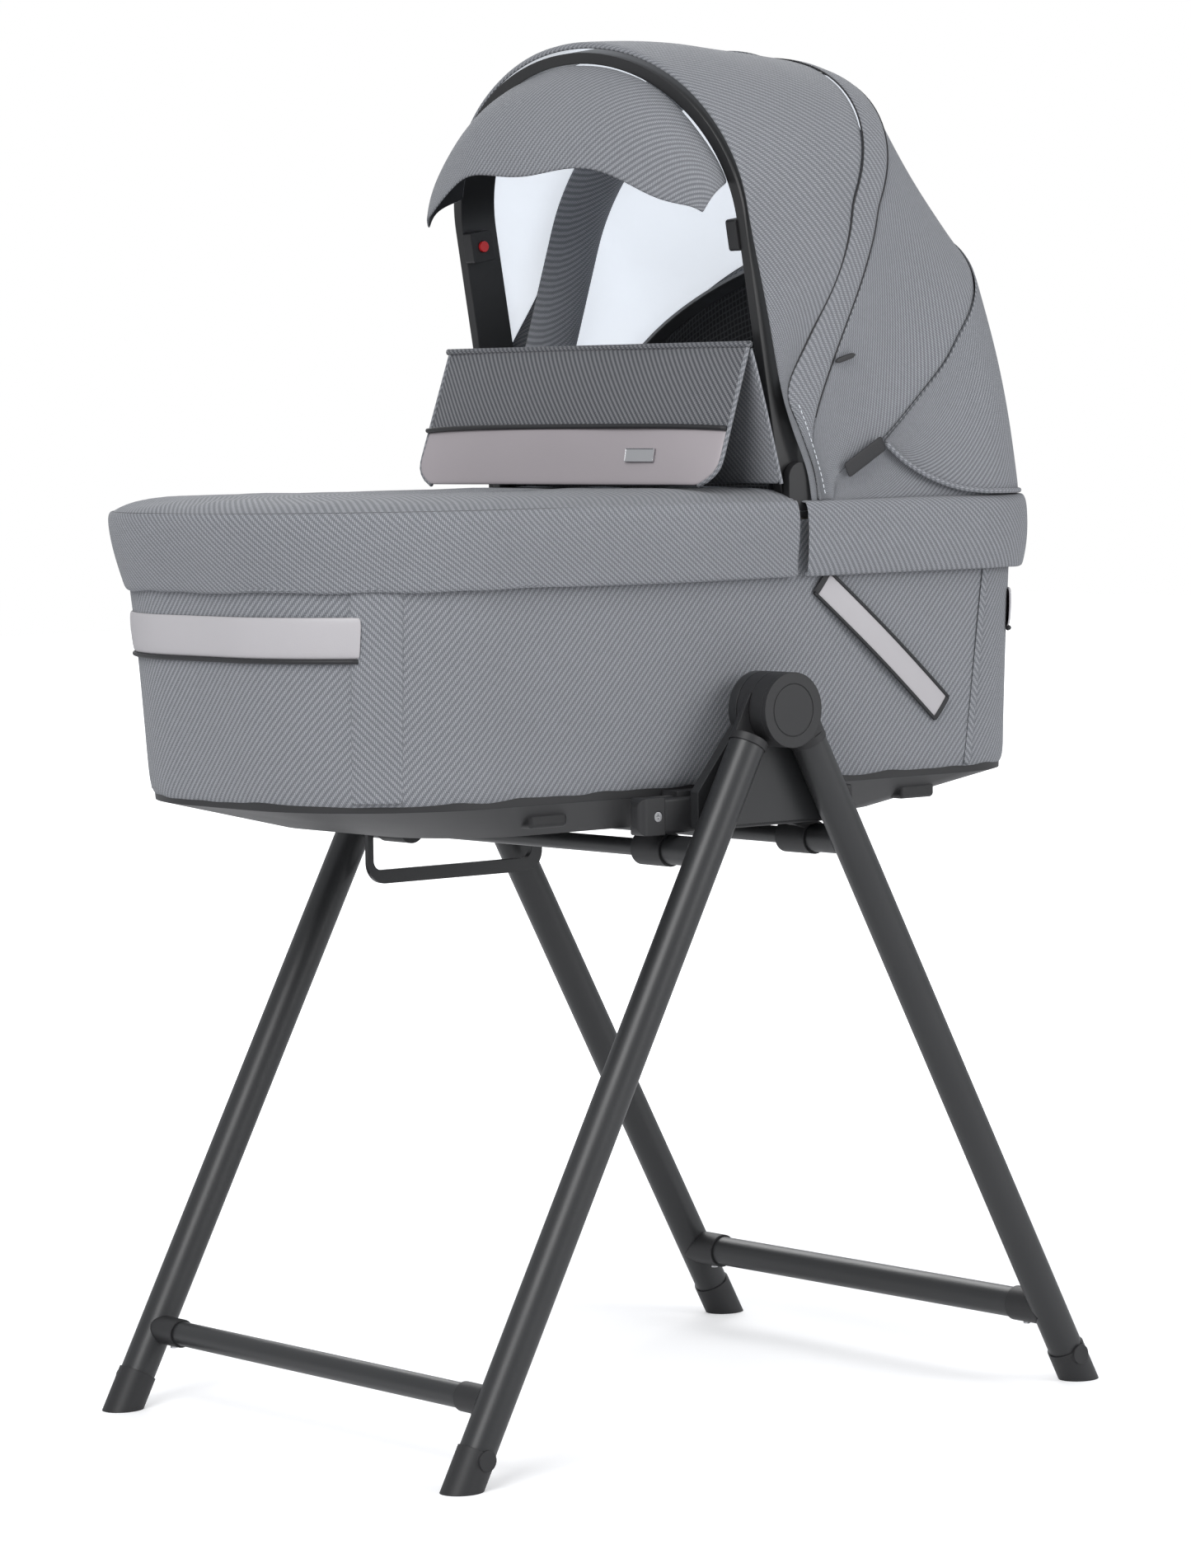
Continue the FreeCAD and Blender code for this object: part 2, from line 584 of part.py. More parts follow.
def bow(arch, size, lean):
    """Flat hoop with round eyes at the pivot."""
    width, thick = size
    face = Part.Face(arch_wire(arch, thick, 0))
    hoop = face.extrude(V(0, 0, width))
    hoop.translate(V(0, 0, -width / 2))
    hoop = to_bow(hoop, lean)
    half = arch[0]
    eyes = [y_rod(PIVOT_X, PIVOT_Z, s * half - (thick if s > 0 else 0), s * half + (0 if s > 0 else thick),
                  width / 2 if width > 30 else 10.0) for s in (-1, 1)]
    hoop = hoop.fuse(eyes)
    return hoop.cut(y_rod(PIVOT_X, PIVOT_Z, -300, 300, PIVOT_PIN_R + RUN)).removeSplitter()


def cover(arch0, lean0, arch1, lean1):
    """Cloth panel of the hood between two planes through the pivot."""
    wires = [to_bow(arch_wire(grow(a, HOOD_CLOTH + SKIN * 2), HOOD_CLOTH, COVER_START), lean)
             for a, lean in ((arch0, lean0), (arch1, lean1))]
    return Part.makeLoft(wires, True, True)


def grow(arch, by):
    half, crown, rise = arch
    return half + by, crown + by, rise + by * 0.5


def pivot_bracket():
    """Block on the rim that carries the pin of the three bows."""
    half = FRONT_ARCH[0]
    outer = half + 1 + BRACKET_THICK
    body = block(BRACKET_X[0], BRACKET_X[1], -outer, -half - 1, SEAT, BRACKET_TOP)
    top = [e for e in body.Edges if abs(e.tangentAt(e.FirstParameter).y) > 0.99 and e.CenterOfMass.z > SEAT + 1]
    body = body.makeFillet(14.0, top)
    pin = y_rod(PIVOT_X, PIVOT_Z, -half - 2, -REAR_ARCH[0] + THIN_BOW[1] + 1, PIVOT_PIN_R)
    return body.fuse(pin).removeSplitter()


def visor():
    """Sun visor hanging in front of the bow's crown: a ruled strip from the bow to its hem."""
    half, crown, rise = grow(FRONT_ARCH, 1.5 - FRONT_BOW[1])
    wires = []
    for i in range(VISOR_STEPS + 1):
        t = math.radians(VISOR_SPREAD[0] + (VISOR_SPREAD[1] - VISOR_SPREAD[0]) * i / VISOR_STEPS)
        p = to_bow_point(half * math.cos(t), crown - rise + rise * math.sin(t),
                         FRONT_BOW[0] / 2 + SKIN, FRONT_LEAN)
        width, x0, dx, z0, dz = VISOR_HEM
        h = V(x0 + dx * math.sin(t), width * math.cos(t), z0 + dz * math.sin(t))
        out = V(0, math.cos(t), math.sin(t))
        out = out * (VISOR_THICK / out.Length)
        wires.append(Part.makePolygon([p, h, h - out, p - out, p]))
    return Part.makeLoft(wires, True, True)


def clip_block():
    """Square clip on the inner face of the front bow, with a pocket for its push button."""
    tall, deep, thick = CLIP_SIZE
    y0 = -FRONT_ARCH[0] + FRONT_BOW[1] + SKIN
    y1 = y0 + thick
    body = block(-tall / 2, tall / 2, y0, y1, -deep + 4, 4)
    sides = [e for e in body.Edges if abs(e.tangentAt(e.FirstParameter).y) > 0.99]
    body = body.makeFillet(3.0, sides)
    body = body.cut(rod(V(0, y1 - BUTTON_DEPTH, button_offset()), V(0, 1, 0), BUTTON_R + SKIN, BUTTON_DEPTH + 1))
    return clip_place(body)


def button_offset():
    return 4 - CLIP_SIZE[1] / 2


def clip_place(shape):
    """Local X runs up the bow, local -Z points forward."""
    a = math.radians(FRONT_LEAN)
    m = FreeCAD.Matrix(math.sin(a), 0, math.cos(a), PIVOT_X + CLIP_RISE * math.sin(a),
                       0, 1, 0, 0,
                       math.cos(a), 0, -math.sin(a), PIVOT_Z + CLIP_RISE * math.cos(a),
                       0, 0, 0, 1)
    return shape.transformGeometry(m)


def clip_button():
    y1 = -FRONT_ARCH[0] + FRONT_BOW[1] + CLIP_SIZE[2]
    room = BUTTON_TRAVEL + SKIN
    return clip_place(rod(V(0, y1 - BUTTON_DEPTH + room, button_offset()), V(0, 1, 0), BUTTON_R,
                          BUTTON_DEPTH - room + BUTTON_PROUD))


# ---- windscreen ----------------------------------------------------------------------------
def slab(start, end, gap, half):
    """Flat panel from gap below the ridge to end, SCREEN_THICK thick, centred on its line."""
    (x0, z0), (x1, z1) = start, end
    length = math.hypot(x1 - x0, z1 - z0)
    ux, uz = (x1 - x0) / length, (z1 - z0) / length
    nx, nz = -uz * SCREEN_THICK / 2, ux * SCREEN_THICK / 2
    x0, z0 = x0 + ux * gap, z0 + uz * gap
    return plate([(x0 + nx, z0 + nz), (x1 + nx, z1 + nz), (x1 - nx, z1 - nz), (x0 - nx, z0 - nz)], -half, half)


def screen_front():
    bead = y_rod(RIDGE[0], RIDGE[1], -SCREEN_HALF, SCREEN_HALF, SCREEN_BEAD)
    return slab(RIDGE, SCREEN_FRONT, 0.0, SCREEN_HALF).fuse(bead).removeSplitter()


def screen_rear():
    clear = SCREEN_BEAD + SKIN * 2
    panel = slab(RIDGE, SCREEN_REAR, clear, SCREEN_HALF)
    swept = y_rod(RIDGE[0], RIDGE[1], -SCREEN_HALF, SCREEN_HALF, clear)
    front = slab(RIDGE, SCREEN_FRONT, 0.0, SCREEN_HALF)
    return panel.cut(swept).cut(front)


def frame_of_legs(end, name, lower_r, ribbed):
    save(name + "_legs", *pair(leg_tube(end)))
    save(name + "_leg_knuckles", *pair(knuckle(end)))
    save(name + "_foot_caps", *pair(foot_cap(end)))
    bar, collar, screw = lower_bar(end, lower_r)
    save(name + "_lower_crossbar", bar)
    save(name + "_lower_collars", *pair(collar))
    save(name + "_collar_screws", *pair(screw))
    bar, sleeve, x = upper_bar(end, ribbed)
    save(name + "_upper_crossbar", bar)
    save(name + "_upper_sleeves", *pair(sleeve))


def main():
    os.makedirs("parts", exist_ok=True)
    frame_of_legs(-1, "front", FRONT_LOWER_R, False)
    frame_of_legs(1, "rear", REAR_LOWER_R, True)
    save("hub_pins", *pair(hub_pin()))
    save("hub_caps", *pair(hub_cap()))
    save("hub_webs", *pair(hub_web()))
    save("carrier_rails", *pair(carrier_rail()))
    save("rail_end_caps", *pair(rail_end_cap()))
    save("rail_screws", *pair(rail_screw()))
    save("spreader_bail", bail())
    save("hull", hull())
    save("adapter_studs", *[s for x in STUD_X for s in pair(adapter_stud(x))])
    save("tub_fabric", tub_layer(TUB_BOTTOM, TUB_TOP, 0, FABRIC))
    save("side_wall_board", tub_layer(HULL_RIM + SKIN, TUB_TOP, BOARD_INSET, BOARD_INSET + BOARD))
    save("liner", tub_layer(HULL_RIM + SKIN, TUB_TOP, LINER_INSET, LINER_INSET + LINING))
    save("mattress_board", mattress_board())
    save("mattress", mattress())
    save("rim_trim", rim_trim())
    save("apron", apron())
    save("head_skirt", head_skirt())
    save("foot_band", foot_band())
    save("side_handles", *pair(side_handle()))
    save("hood_pivot_brackets", *pair(pivot_bracket()))
    save("front_bow", bow(FRONT_ARCH, FRONT_BOW, FRONT_LEAN))
    save("mid_bow", bow(MID_ARCH, THIN_BOW, MID_LEAN))
    save("rear_bow", bow(REAR_ARCH, THIN_BOW, REAR_LEAN))
    edge = math.degrees(math.asin(FRONT_BOW[0] / 2 / FRONT_ARCH[1]))
    save("hood_front_panel", cover(FRONT_COVER, FRONT_LEAN - edge, MID_COVER, MID_LEAN))
    save("hood_mid_panel", cover(MID_COVER, MID_LEAN + 0.1, REAR_COVER, REAR_LEAN - 0.1))
    save("hood_rear_panel", cover(REAR_COVER, REAR_LEAN, CURTAIN_COVER, CURTAIN_LEAN))
    save("visor", visor())
    save("clip_blocks", *pair(clip_block()))
    save("clip_button_near", clip_button())
    save("clip_button_far", far_copy(clip_button()))
    save("windscreen_front_panel", screen_front())
    save("windscreen_rear_panel", screen_rear())


main()
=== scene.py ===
# %% [markdown]
# # A bassinet on a folding stand
# The stand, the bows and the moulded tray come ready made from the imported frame. This file
# dresses them: it sews the cloth, pads the mattress, and gives every surface its finish.
# It works in metres, and every position hangs on the boxes of the frame's own parts.

# %% The frame
import json
import math

import bmesh
import bpy
import numpy as np
from mathutils import Matrix, Vector, noise


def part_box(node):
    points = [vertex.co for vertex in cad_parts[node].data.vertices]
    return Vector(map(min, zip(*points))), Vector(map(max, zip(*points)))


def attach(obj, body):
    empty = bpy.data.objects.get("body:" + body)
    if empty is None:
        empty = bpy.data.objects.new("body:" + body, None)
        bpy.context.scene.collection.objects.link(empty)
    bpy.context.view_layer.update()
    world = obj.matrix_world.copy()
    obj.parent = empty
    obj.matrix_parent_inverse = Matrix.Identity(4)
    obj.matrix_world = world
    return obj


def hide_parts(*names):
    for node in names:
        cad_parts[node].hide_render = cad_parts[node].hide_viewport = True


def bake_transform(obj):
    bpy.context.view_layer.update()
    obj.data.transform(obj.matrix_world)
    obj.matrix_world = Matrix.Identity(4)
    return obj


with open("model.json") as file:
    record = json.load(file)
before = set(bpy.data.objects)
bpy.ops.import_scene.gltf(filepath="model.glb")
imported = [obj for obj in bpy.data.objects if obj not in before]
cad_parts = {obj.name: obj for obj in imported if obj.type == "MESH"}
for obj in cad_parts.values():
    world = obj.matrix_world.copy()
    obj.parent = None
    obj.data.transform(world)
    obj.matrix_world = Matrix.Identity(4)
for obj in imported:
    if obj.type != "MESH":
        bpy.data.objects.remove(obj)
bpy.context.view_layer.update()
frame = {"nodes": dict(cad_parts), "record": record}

# %% [markdown]
# The hub is where the legs cross the carrier. Everything on the real object was laid out from
# it, so this file measures from it too: `spot` turns a place beside the hub into a place on
# the floor plan.

# %% Where the hub is
pin_low, pin_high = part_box("hub_pins")
HUB = Vector(((pin_low.x + pin_high.x) / 2, 0.0, (pin_low.z + pin_high.z) / 2))


def spot(x, y, z):
    return Vector((HUB.x + x, y, HUB.z + z))


print("hub at", tuple(round(c, 4) for c in HUB))

# %% [markdown]
# ## Camera
# The object is seen from its foot end and near side, from a little above the middle and from
# far away, which keeps the legs nearly parallel. A long lens on a tall sensor gives that look.

# %% Camera
AZIMUTH, ELEVATION, ROLL = math.radians(-39.7595), math.radians(4.1987), math.radians(-0.8296)
DISTANCE = 4.72067
FOCUS = Vector((HUB.x - 0.0007, 0.0, 0.56093))


def add_camera():
    back = Vector((math.sin(AZIMUTH) * math.cos(ELEVATION),
                   -math.cos(AZIMUTH) * math.cos(ELEVATION), math.sin(ELEVATION)))
    right = (-back).cross(Vector((0, 0, 1))).normalized()
    up = right.cross(-back)
    side = right * math.cos(ROLL) + up * math.sin(ROLL)
    top = up * math.cos(ROLL) - right * math.sin(ROLL)
    data = bpy.data.cameras.new("camera")
    data.sensor_fit = "VERTICAL"
    data.sensor_height = 36.0
    data.lens = 119.12
    camera = bpy.data.objects.new("camera", data)
    bpy.context.scene.collection.objects.link(camera)
    turn = Matrix((side, top, back)).transposed().to_4x4()
    camera.matrix_world = Matrix.Translation(FOCUS + back * DISTANCE) @ turn
    bpy.context.scene.camera = camera


add_camera()

# %% [markdown]
# ## Light
# A product studio: a big soft box high on the left, a weaker one on the right, one behind, and
# a white room all round. The lamps are kept at a level where a colour renders about as written.

# %% Lamps and room
def add_lamp(name, place, aim, size, power):
    data = bpy.data.lights.new(name, "AREA")
    data.shape = "RECTANGLE"
    data.size, data.size_y = size
    data.energy = power
    lamp = bpy.data.objects.new(name, data)
    bpy.context.scene.collection.objects.link(lamp)
    lamp.location = place
    lamp.rotation_euler = (Vector(aim) - Vector(place)).to_track_quat("-Z", "Y").to_euler()


add_lamp("key_box", (-2.6, -1.4, 2.7), (0, 0, 0.75), (1.6, 2.2), 74.0)
add_lamp("fill_box", (1.4, -3.0, 1.7), (0, 0, 0.7), (1.8, 1.8), 40.0)
add_lamp("back_box", (1.6, 2.4, 2.4), (0, 0, 0.9), (2.0, 1.4), 40.0)


def add_room():
    world = bpy.data.worlds.new("room")
    bpy.context.scene.world = world
    world.use_nodes = True
    nodes, links = world.node_tree.nodes, world.node_tree.links
    nodes.clear()
    out = nodes.new("ShaderNodeOutputWorld")
    mix = nodes.new("ShaderNodeMixShader")
    room = nodes.new("ShaderNodeBackground")
    room.inputs["Color"].default_value = (0.95, 0.97, 1.0, 1)
    room.inputs["Strength"].default_value = 0.62
    seen = nodes.new("ShaderNodeBackground")
    seen.inputs["Color"].default_value = (1, 1, 1, 1)
    seen.inputs["Strength"].default_value = 1.0
    path = nodes.new("ShaderNodeLightPath")
    links.new(path.outputs["Is Camera Ray"], mix.inputs["Fac"])
    links.new(room.outputs["Background"], mix.inputs[1])
    links.new(seen.outputs["Background"], mix.inputs[2])
    links.new(mix.outputs["Shader"], out.inputs["Surface"])


add_room()
bpy.context.scene.view_settings.view_transform = "Standard"

# %% [markdown]
# ## Floor
# A plain pale floor. To the camera it adds a little light of its own, so it is as white as the
# room behind it, and still shows the soft shadow under the feet.

# %% Floor
def add_floor():
    grid = bmesh.new()
    bmesh.ops.create_grid(grid, x_segments=1, y_segments=1, size=14.0)
    mesh = bpy.data.meshes.new("floor")
    grid.to_mesh(mesh)
    grid.free()
    floor = bpy.data.objects.new("floor", mesh)
    bpy.context.scene.collection.objects.link(floor)
    material = bpy.data.materials.new("pale_floor")
    material.use_nodes = True
    nodes, links = material.node_tree.nodes, material.node_tree.links
    nodes.clear()
    out = nodes.new("ShaderNodeOutputMaterial")
    matt = nodes.new("ShaderNodeBsdfDiffuse")
    matt.inputs["Color"].default_value = (0.86, 0.86, 0.87, 1)
    glow = nodes.new("ShaderNodeEmission")
    glow.inputs["Color"].default_value = (1, 1, 1, 1)
    add = nodes.new("ShaderNodeAddShader")
    path = nodes.new("ShaderNodeLightPath")
    level = nodes.new("ShaderNodeMath")
    level.operation = "MULTIPLY"
    links.new(path.outputs["Is Camera Ray"], level.inputs[0])
    place = nodes.new("ShaderNodeTexCoord")
    reach = nodes.new("ShaderNodeVectorMath")
    reach.operation = "LENGTH"
    fade = nodes.new("ShaderNodeMapRange")
    for socket, value in (("From Min", 0.9), ("From Max", 2.6), ("To Min", 0.28), ("To Max", 1.0)):
        fade.inputs[socket].default_value = value
    links.new(place.outputs["Object"], reach.inputs[0])
    links.new(reach.outputs["Value"], fade.inputs["Value"])
    links.new(fade.outputs[0], level.inputs[1])
    links.new(level.outputs[0], glow.inputs["Strength"])
    links.new(matt.outputs[0], add.inputs[0])
    links.new(glow.outputs[0], add.inputs[1])
    links.new(add.outputs[0], out.inputs["Surface"])
    mesh.materials.append(material)


add_floor()

# %% [markdown]
# ## Finishes
# A finish is a small net of nodes. `Net` keeps the wiring short: `math` adds a Math node, and
# whatever it is given is either a number or another node's output.

# %% A helper for node nets
class Net:
    def __init__(self, name):
        self.material = bpy.data.materials.new(name)
        self.material.use_nodes = True
        self.tree = self.material.node_tree
        self.shader = self.tree.nodes["Principled BSDF"]

    def node(self, kind, **values):
        made = self.tree.nodes.new(kind)
        for key, value in values.items():
            setattr(made, key, value)
        return made

    def feed(self, socket, value):
        if isinstance(value, bpy.types.NodeSocket):
            self.tree.links.new(value, socket)
        else:
            socket.default_value = value

    def math(self, operation, *values):
        made = self.node("ShaderNodeMath", operation=operation)
        for socket, value in zip(made.inputs, values):
            self.feed(socket, value)
        return made.outputs[0]

    def mix(self, factor, a, b):
        made = self.node("ShaderNodeMix", data_type="RGBA")
        self.feed(made.inputs[0], factor)
        self.feed(made.inputs[6], a)
        self.feed(made.inputs[7], b)
        return made.outputs[2]

    def noise(self, scale, detail=2.0, vector=None):
        made = self.node("ShaderNodeTexNoise")
        made.inputs["Scale"].default_value = scale
        made.inputs["Detail"].default_value = detail
        self.feed(made.inputs["Vector"], vector or self.place())
        return made.outputs["Fac"]

    def place(self):
        return self.node("ShaderNodeTexCoord").outputs["Object"]

    def bump(self, height, distance, strength=1.0, under=None):
        made = self.node("ShaderNodeBump")
        made.inputs["Distance"].default_value = distance
        made.inputs["Strength"].default_value = strength
        self.feed(made.inputs["Height"], height)
        if under is not None:
            self.feed(made.inputs["Normal"], under)
        return made.outputs["Normal"]

    def finish(self, colour, roughness, normal=None, **constants):
        self.feed(self.shader.inputs["Base Color"], colour)
        self.feed(self.shader.inputs["Roughness"], roughness)
        if normal is not None:
            self.feed(self.shader.inputs["Normal"], normal)
        for key, value in constants.items():
            self.shader.inputs[key.replace("_", " ")].default_value = value
        return self.material


# %% [markdown]
# The cloth is a two-over-two twill: pale threads run up, blue-grey threads run across, and each
# passes over two and under two, one step further on each row. The cloth's own UV map is in
# metres, so a thread has its real width wherever the cloth bends. Which thread is on top comes
# from the row and column number; the round of each thread gives the bump.

# %% Twill
THREAD = 0.00155


def twill(name, pale, deep, thread=THREAD, contrast=1.0):
    net = Net(name)
    uv = net.node("ShaderNodeUVMap", uv_map="cloth").outputs["UV"]
    split = net.node("ShaderNodeSeparateXYZ")
    net.feed(split.inputs[0], uv)
    across = net.math("DIVIDE", split.outputs[0], thread)
    along = net.math("DIVIDE", split.outputs[1], thread)
    column, row = net.math("FLOOR", across), net.math("FLOOR", along)
    step = net.math("FLOORED_MODULO", net.math("ADD", column, row), 4.0)
    up = net.math("LESS_THAN", step, 1.5)
    round_up = net.math("SINE", net.math("MULTIPLY", net.math("FRACT", across), math.pi))
    round_over = net.math("SINE", net.math("MULTIPLY", net.math("FRACT", along), math.pi))
    height = net.math("ADD", net.math("MULTIPLY", up, round_up),
                      net.math("MULTIPLY", net.math("SUBTRACT", 1.0, up), round_over))
    thread_colour = net.mix(up, deep, pale)
    gap = tuple(c * (1 - 0.45 * contrast) for c in deep[:3]) + (1,)
    shade = net.math("MINIMUM", net.math("ADD", net.math("MULTIPLY", height, 0.85), 0.15), 1.0)
    woven = net.mix(shade, gap, thread_colour)
    slub = net.noise(260.0, 3.0)
    cloud = net.noise(7.0, 2.0)
    tint = net.math("ADD", net.math("MULTIPLY", slub, 0.22), net.math("MULTIPLY", cloud, 0.10))
    lift = net.math("ADD", tint, 0.84)
    scale = net.node("ShaderNodeVectorMath", operation="SCALE")
    net.feed(scale.inputs[0], woven)
    net.feed(scale.inputs["Scale"], lift)
    normal = net.bump(height, 0.00032, 0.8)
    return net.finish(scale.outputs[0], 0.88, normal, Specular_IOR_Level=0.25,
                      Sheen_Weight=0.12, Sheen_Roughness=0.5)


PALE_GREY, DEEP_GREY = (0.322, 0.330, 0.352, 1), (0.186, 0.194, 0.212, 1)
grey_twill = twill("grey_twill", PALE_GREY, DEEP_GREY)
# A darker copy of the grey twill: painted shade, used where the windscreen's front, its ridge and the apron
# seam lie in shade.
shaded_twill = twill("shaded_twill", (0.243, 0.247, 0.262, 1), (0.088, 0.092, 0.103, 1))

# %% [markdown]
# Smooth imitation leather trims the foot end, the handles and the windscreen. It is almost
# plain: a fine pebble in the bump, a slow cloud in the colour, and a soft shine.

# %% Leather, lining, piping and mesh
def leather(name, colour, grain=900.0):
    net = Net(name)
    pebble = net.node("ShaderNodeTexVoronoi")
    pebble.inputs["Scale"].default_value = grain
    net.feed(pebble.inputs["Vector"], net.place())
    cloud = net.noise(9.0, 3.0)
    deep = tuple(c * 0.93 for c in colour[:3]) + (1,)
    normal = net.bump(pebble.outputs["Distance"], 0.00010, 0.5)
    rough = net.math("ADD", net.math("MULTIPLY", net.noise(40.0), 0.10), 0.42)
    return net.finish(net.mix(cloud, deep, colour), rough, normal, Specular_IOR_Level=0.4)


def lining_cloth(name, colour, glow=0.0):
    net = Net(name)
    crease = net.noise(16.0, 3.0)
    fine = net.noise(1400.0, 1.0)
    first = net.bump(crease, 0.006, 0.55)
    second = net.bump(fine, 0.0001, 0.35, first)
    shade = tuple(c * 0.94 for c in colour[:3]) + (1,)
    material = net.finish(net.mix(crease, shade, colour), 0.62, second, Specular_IOR_Level=0.35)
    shader = next(n for n in material.node_tree.nodes if n.type == "BSDF_PRINCIPLED")
    # Emission paints a glow onto the cloth, set by glow: painted light, which the hood's lining uses for
    # daylight shining through it.
    shader.inputs["Emission Color"].default_value = colour
    shader.inputs["Emission Strength"].default_value = glow
    return material


def ribbed_black(name):
    net = Net(name)
    speck = net.noise(1600.0, 2.0)
    colour = net.mix(speck, (0.008, 0.008, 0.009, 1), (0.030, 0.030, 0.033, 1))
    return net.finish(colour, 0.55, net.bump(speck, 0.0002, 0.6), Specular_IOR_Level=0.4)


def spacer_mesh(name):
    net = Net(name)
    uv = net.node("ShaderNodeUVMap", uv_map="cloth").outputs["UV"]
    cell = net.node("ShaderNodeTexVoronoi", feature="DISTANCE_TO_EDGE")
    cell.inputs["Scale"].default_value = 250.0
    cell.inputs["Randomness"].default_value = 0.12
    net.feed(cell.inputs["Vector"], uv)
    edge = net.math("MINIMUM", net.math("MULTIPLY", cell.outputs["Distance"], 5.0), 1.0)
    colour = net.mix(edge, (0.045, 0.046, 0.048, 1), (0.006, 0.006, 0.007, 1))
    return net.finish(colour, 0.7, net.bump(edge, 0.0006, -0.8), Specular_IOR_Level=0.3)


light_leather = leather("light_leather", (0.440, 0.425, 0.440, 1))
mauve_leather = leather("mauve_leather", (0.372, 0.338, 0.355, 1))
white_lining = lining_cloth("white_lining", (0.80, 0.835, 0.875, 1))
# The hood's lining is given a painted glow: its emission stands in for daylight shining through the hood.
glowing_hood_lining = lining_cloth("glowing_hood_lining", (0.80, 0.835, 0.885, 1), 0.70)  # daylight comes through the hood
black_piping = ribbed_black("black_piping")
black_lining = lining_cloth("black_lining", (0.020, 0.021, 0.024, 1))
black_mesh = spacer_mesh("black_mesh")

# %% [markdown]
# The hard parts are powder-coated tube and moulded plastic, both nearly black. What tells them
# apart is gloss: the coat is satin with a faint orange peel, the plastic has a fine spark
# pattern. A Bevel node softens the sharp edges of the CAD parts where light catches them.

# %% Paint, plastic and metal
def hard_finish(name, colour, rough, grain, depth, edge=0.0012, **constants):
    net = Net(name)
    soft = net.node("ShaderNodeBevel", samples=4)
    soft.inputs["Radius"].default_value = edge
    peel = net.noise(grain, 3.0)
    wear = net.noise(11.0, 4.0)
    pale = tuple(min(1.0, c * 1.35 + 0.002) for c in colour[:3]) + (1,)
    level = net.math("ADD", net.math("MULTIPLY", wear, 0.12), rough - 0.06)
    return net.finish(net.mix(wear, colour, pale), level, net.bump(peel, depth, 0.5, soft.outputs[0]),
                      **constants)


black_tube = hard_finish("black_tube", (0.0150, 0.0155, 0.0165, 1), 0.40, 700.0, 0.00008,
                         Specular_IOR_Level=0.55)
black_plastic = hard_finish("black_plastic", (0.0140, 0.0140, 0.0150, 1), 0.50, 1500.0, 0.00010,
                            Specular_IOR_Level=0.45)
bow_plastic = hard_finish("bow_plastic", (0.0105, 0.0105, 0.0110, 1), 0.36, 900.0, 0.00006, 0.0020,
                          Specular_IOR_Level=0.5)
steel = hard_finish("steel", (0.46, 0.46, 0.47, 1), 0.30, 500.0, 0.00003, 0.0006, Metallic=1.0)
board = hard_finish("board", (0.30, 0.27, 0.22, 1), 0.85, 300.0, 0.0002)
red_button = hard_finish("red_button", (0.56, 0.018, 0.022, 1), 0.38, 900.0, 0.00004, 0.0008)
print("finishes:", len(bpy.data.materials))

# %% [markdown]
# The frame's own parts keep their shapes and only get their finishes here. The soft ones among
# them are replaced by sewn pieces further down.

# %% Dressing the frame's parts
FINISHES = {
    "black_tube": black_tube, "black_plastic": black_plastic, "bow_plastic": bow_plastic,
    "steel": steel, "board": board, "red_button": red_button, "grey_twill": grey_twill,
    "light_leather": light_leather, "white_lining": white_lining, "mattress_ticking": white_lining,
}
for entry in frame["record"]["subparts"]:
    part = frame["nodes"][entry["node"]]
    part.data.materials.clear()
    part.data.materials.append(FINISHES[entry["material_slot"]])
print("dressed", len(frame["nodes"]), "parts")

# %% [markdown]
# ## Sewing
# Cloth here is a strip that grows row by row, as on a loom. The first row is a chain of
# vertices; each further row is an edge extrusion of the last, moved to its place. The UV map is
# the distance along and across in metres, so the twill keeps its size. A Solidify modifier
# gives the cloth its thickness and a second finish inside, and one subdivision rounds it.

# %% Growing a cloth from rows
def weave_map(mesh, places, rows, closed):
    uv = mesh.loops.layers.uv.new("cloth")
    grid = np.array([[tuple(p) for p in row] for row in rows])
    steps = np.linalg.norm(np.diff(grid, axis=1), axis=2)
    along = np.hstack([np.zeros((len(rows), 1)), np.cumsum(steps, axis=1)])
    if closed:
        gap = np.linalg.norm(grid[:, 0] - grid[:, -1], axis=1)[:, None]
        along = np.hstack([along, along[:, -1:] + gap])
    along -= along[:, -1:] / 2
    rises = np.linalg.norm(np.diff(grid, axis=0), axis=2).mean(axis=1)
    up = np.concatenate([[0.0], np.cumsum(rises)])
    last = len(rows[0]) - 1
    for face in mesh.faces:
        columns = [places[v][1] for v in face.verts]
        wraps = closed and 0 in columns and last in columns
        for loop in face.loops:
            row, column = places[loop.vert]
            if wraps and column == 0:
                column = last + 1
            loop[uv].uv = (along[row][column], up[row])


def chain(mesh, row, closed):
    verts = [mesh.verts.new(p) for p in row]
    pairs = list(zip(verts, verts[1:])) + ([(verts[-1], verts[0])] if closed else [])
    return verts, [mesh.edges.new(pair) for pair in pairs]


def grow(rows, closed=False):
    mesh = bmesh.new()
    verts, edges = chain(mesh, rows[0], closed)
    places = {v: (0, j) for j, v in enumerate(verts)}
    for i, row in enumerate(rows[1:], 1):
        made = bmesh.ops.extrude_edge_only(mesh, edges=edges)["geom"]
        fresh = {g for g in made if isinstance(g, bmesh.types.BMVert)}
        edges = [g for g in made if isinstance(g, bmesh.types.BMEdge)
                 and g.verts[0] in fresh and g.verts[1] in fresh]
        following = []
        for old in verts:
            new = next(e.other_vert(old) for e in old.link_edges if e.other_vert(old) in fresh)
            following.append(new)
        verts = following
        for j, (vert, place) in enumerate(zip(verts, row)):
            vert.co = place
            places[vert] = (i, j)
    weave_map(mesh, places, rows, closed)
    return mesh


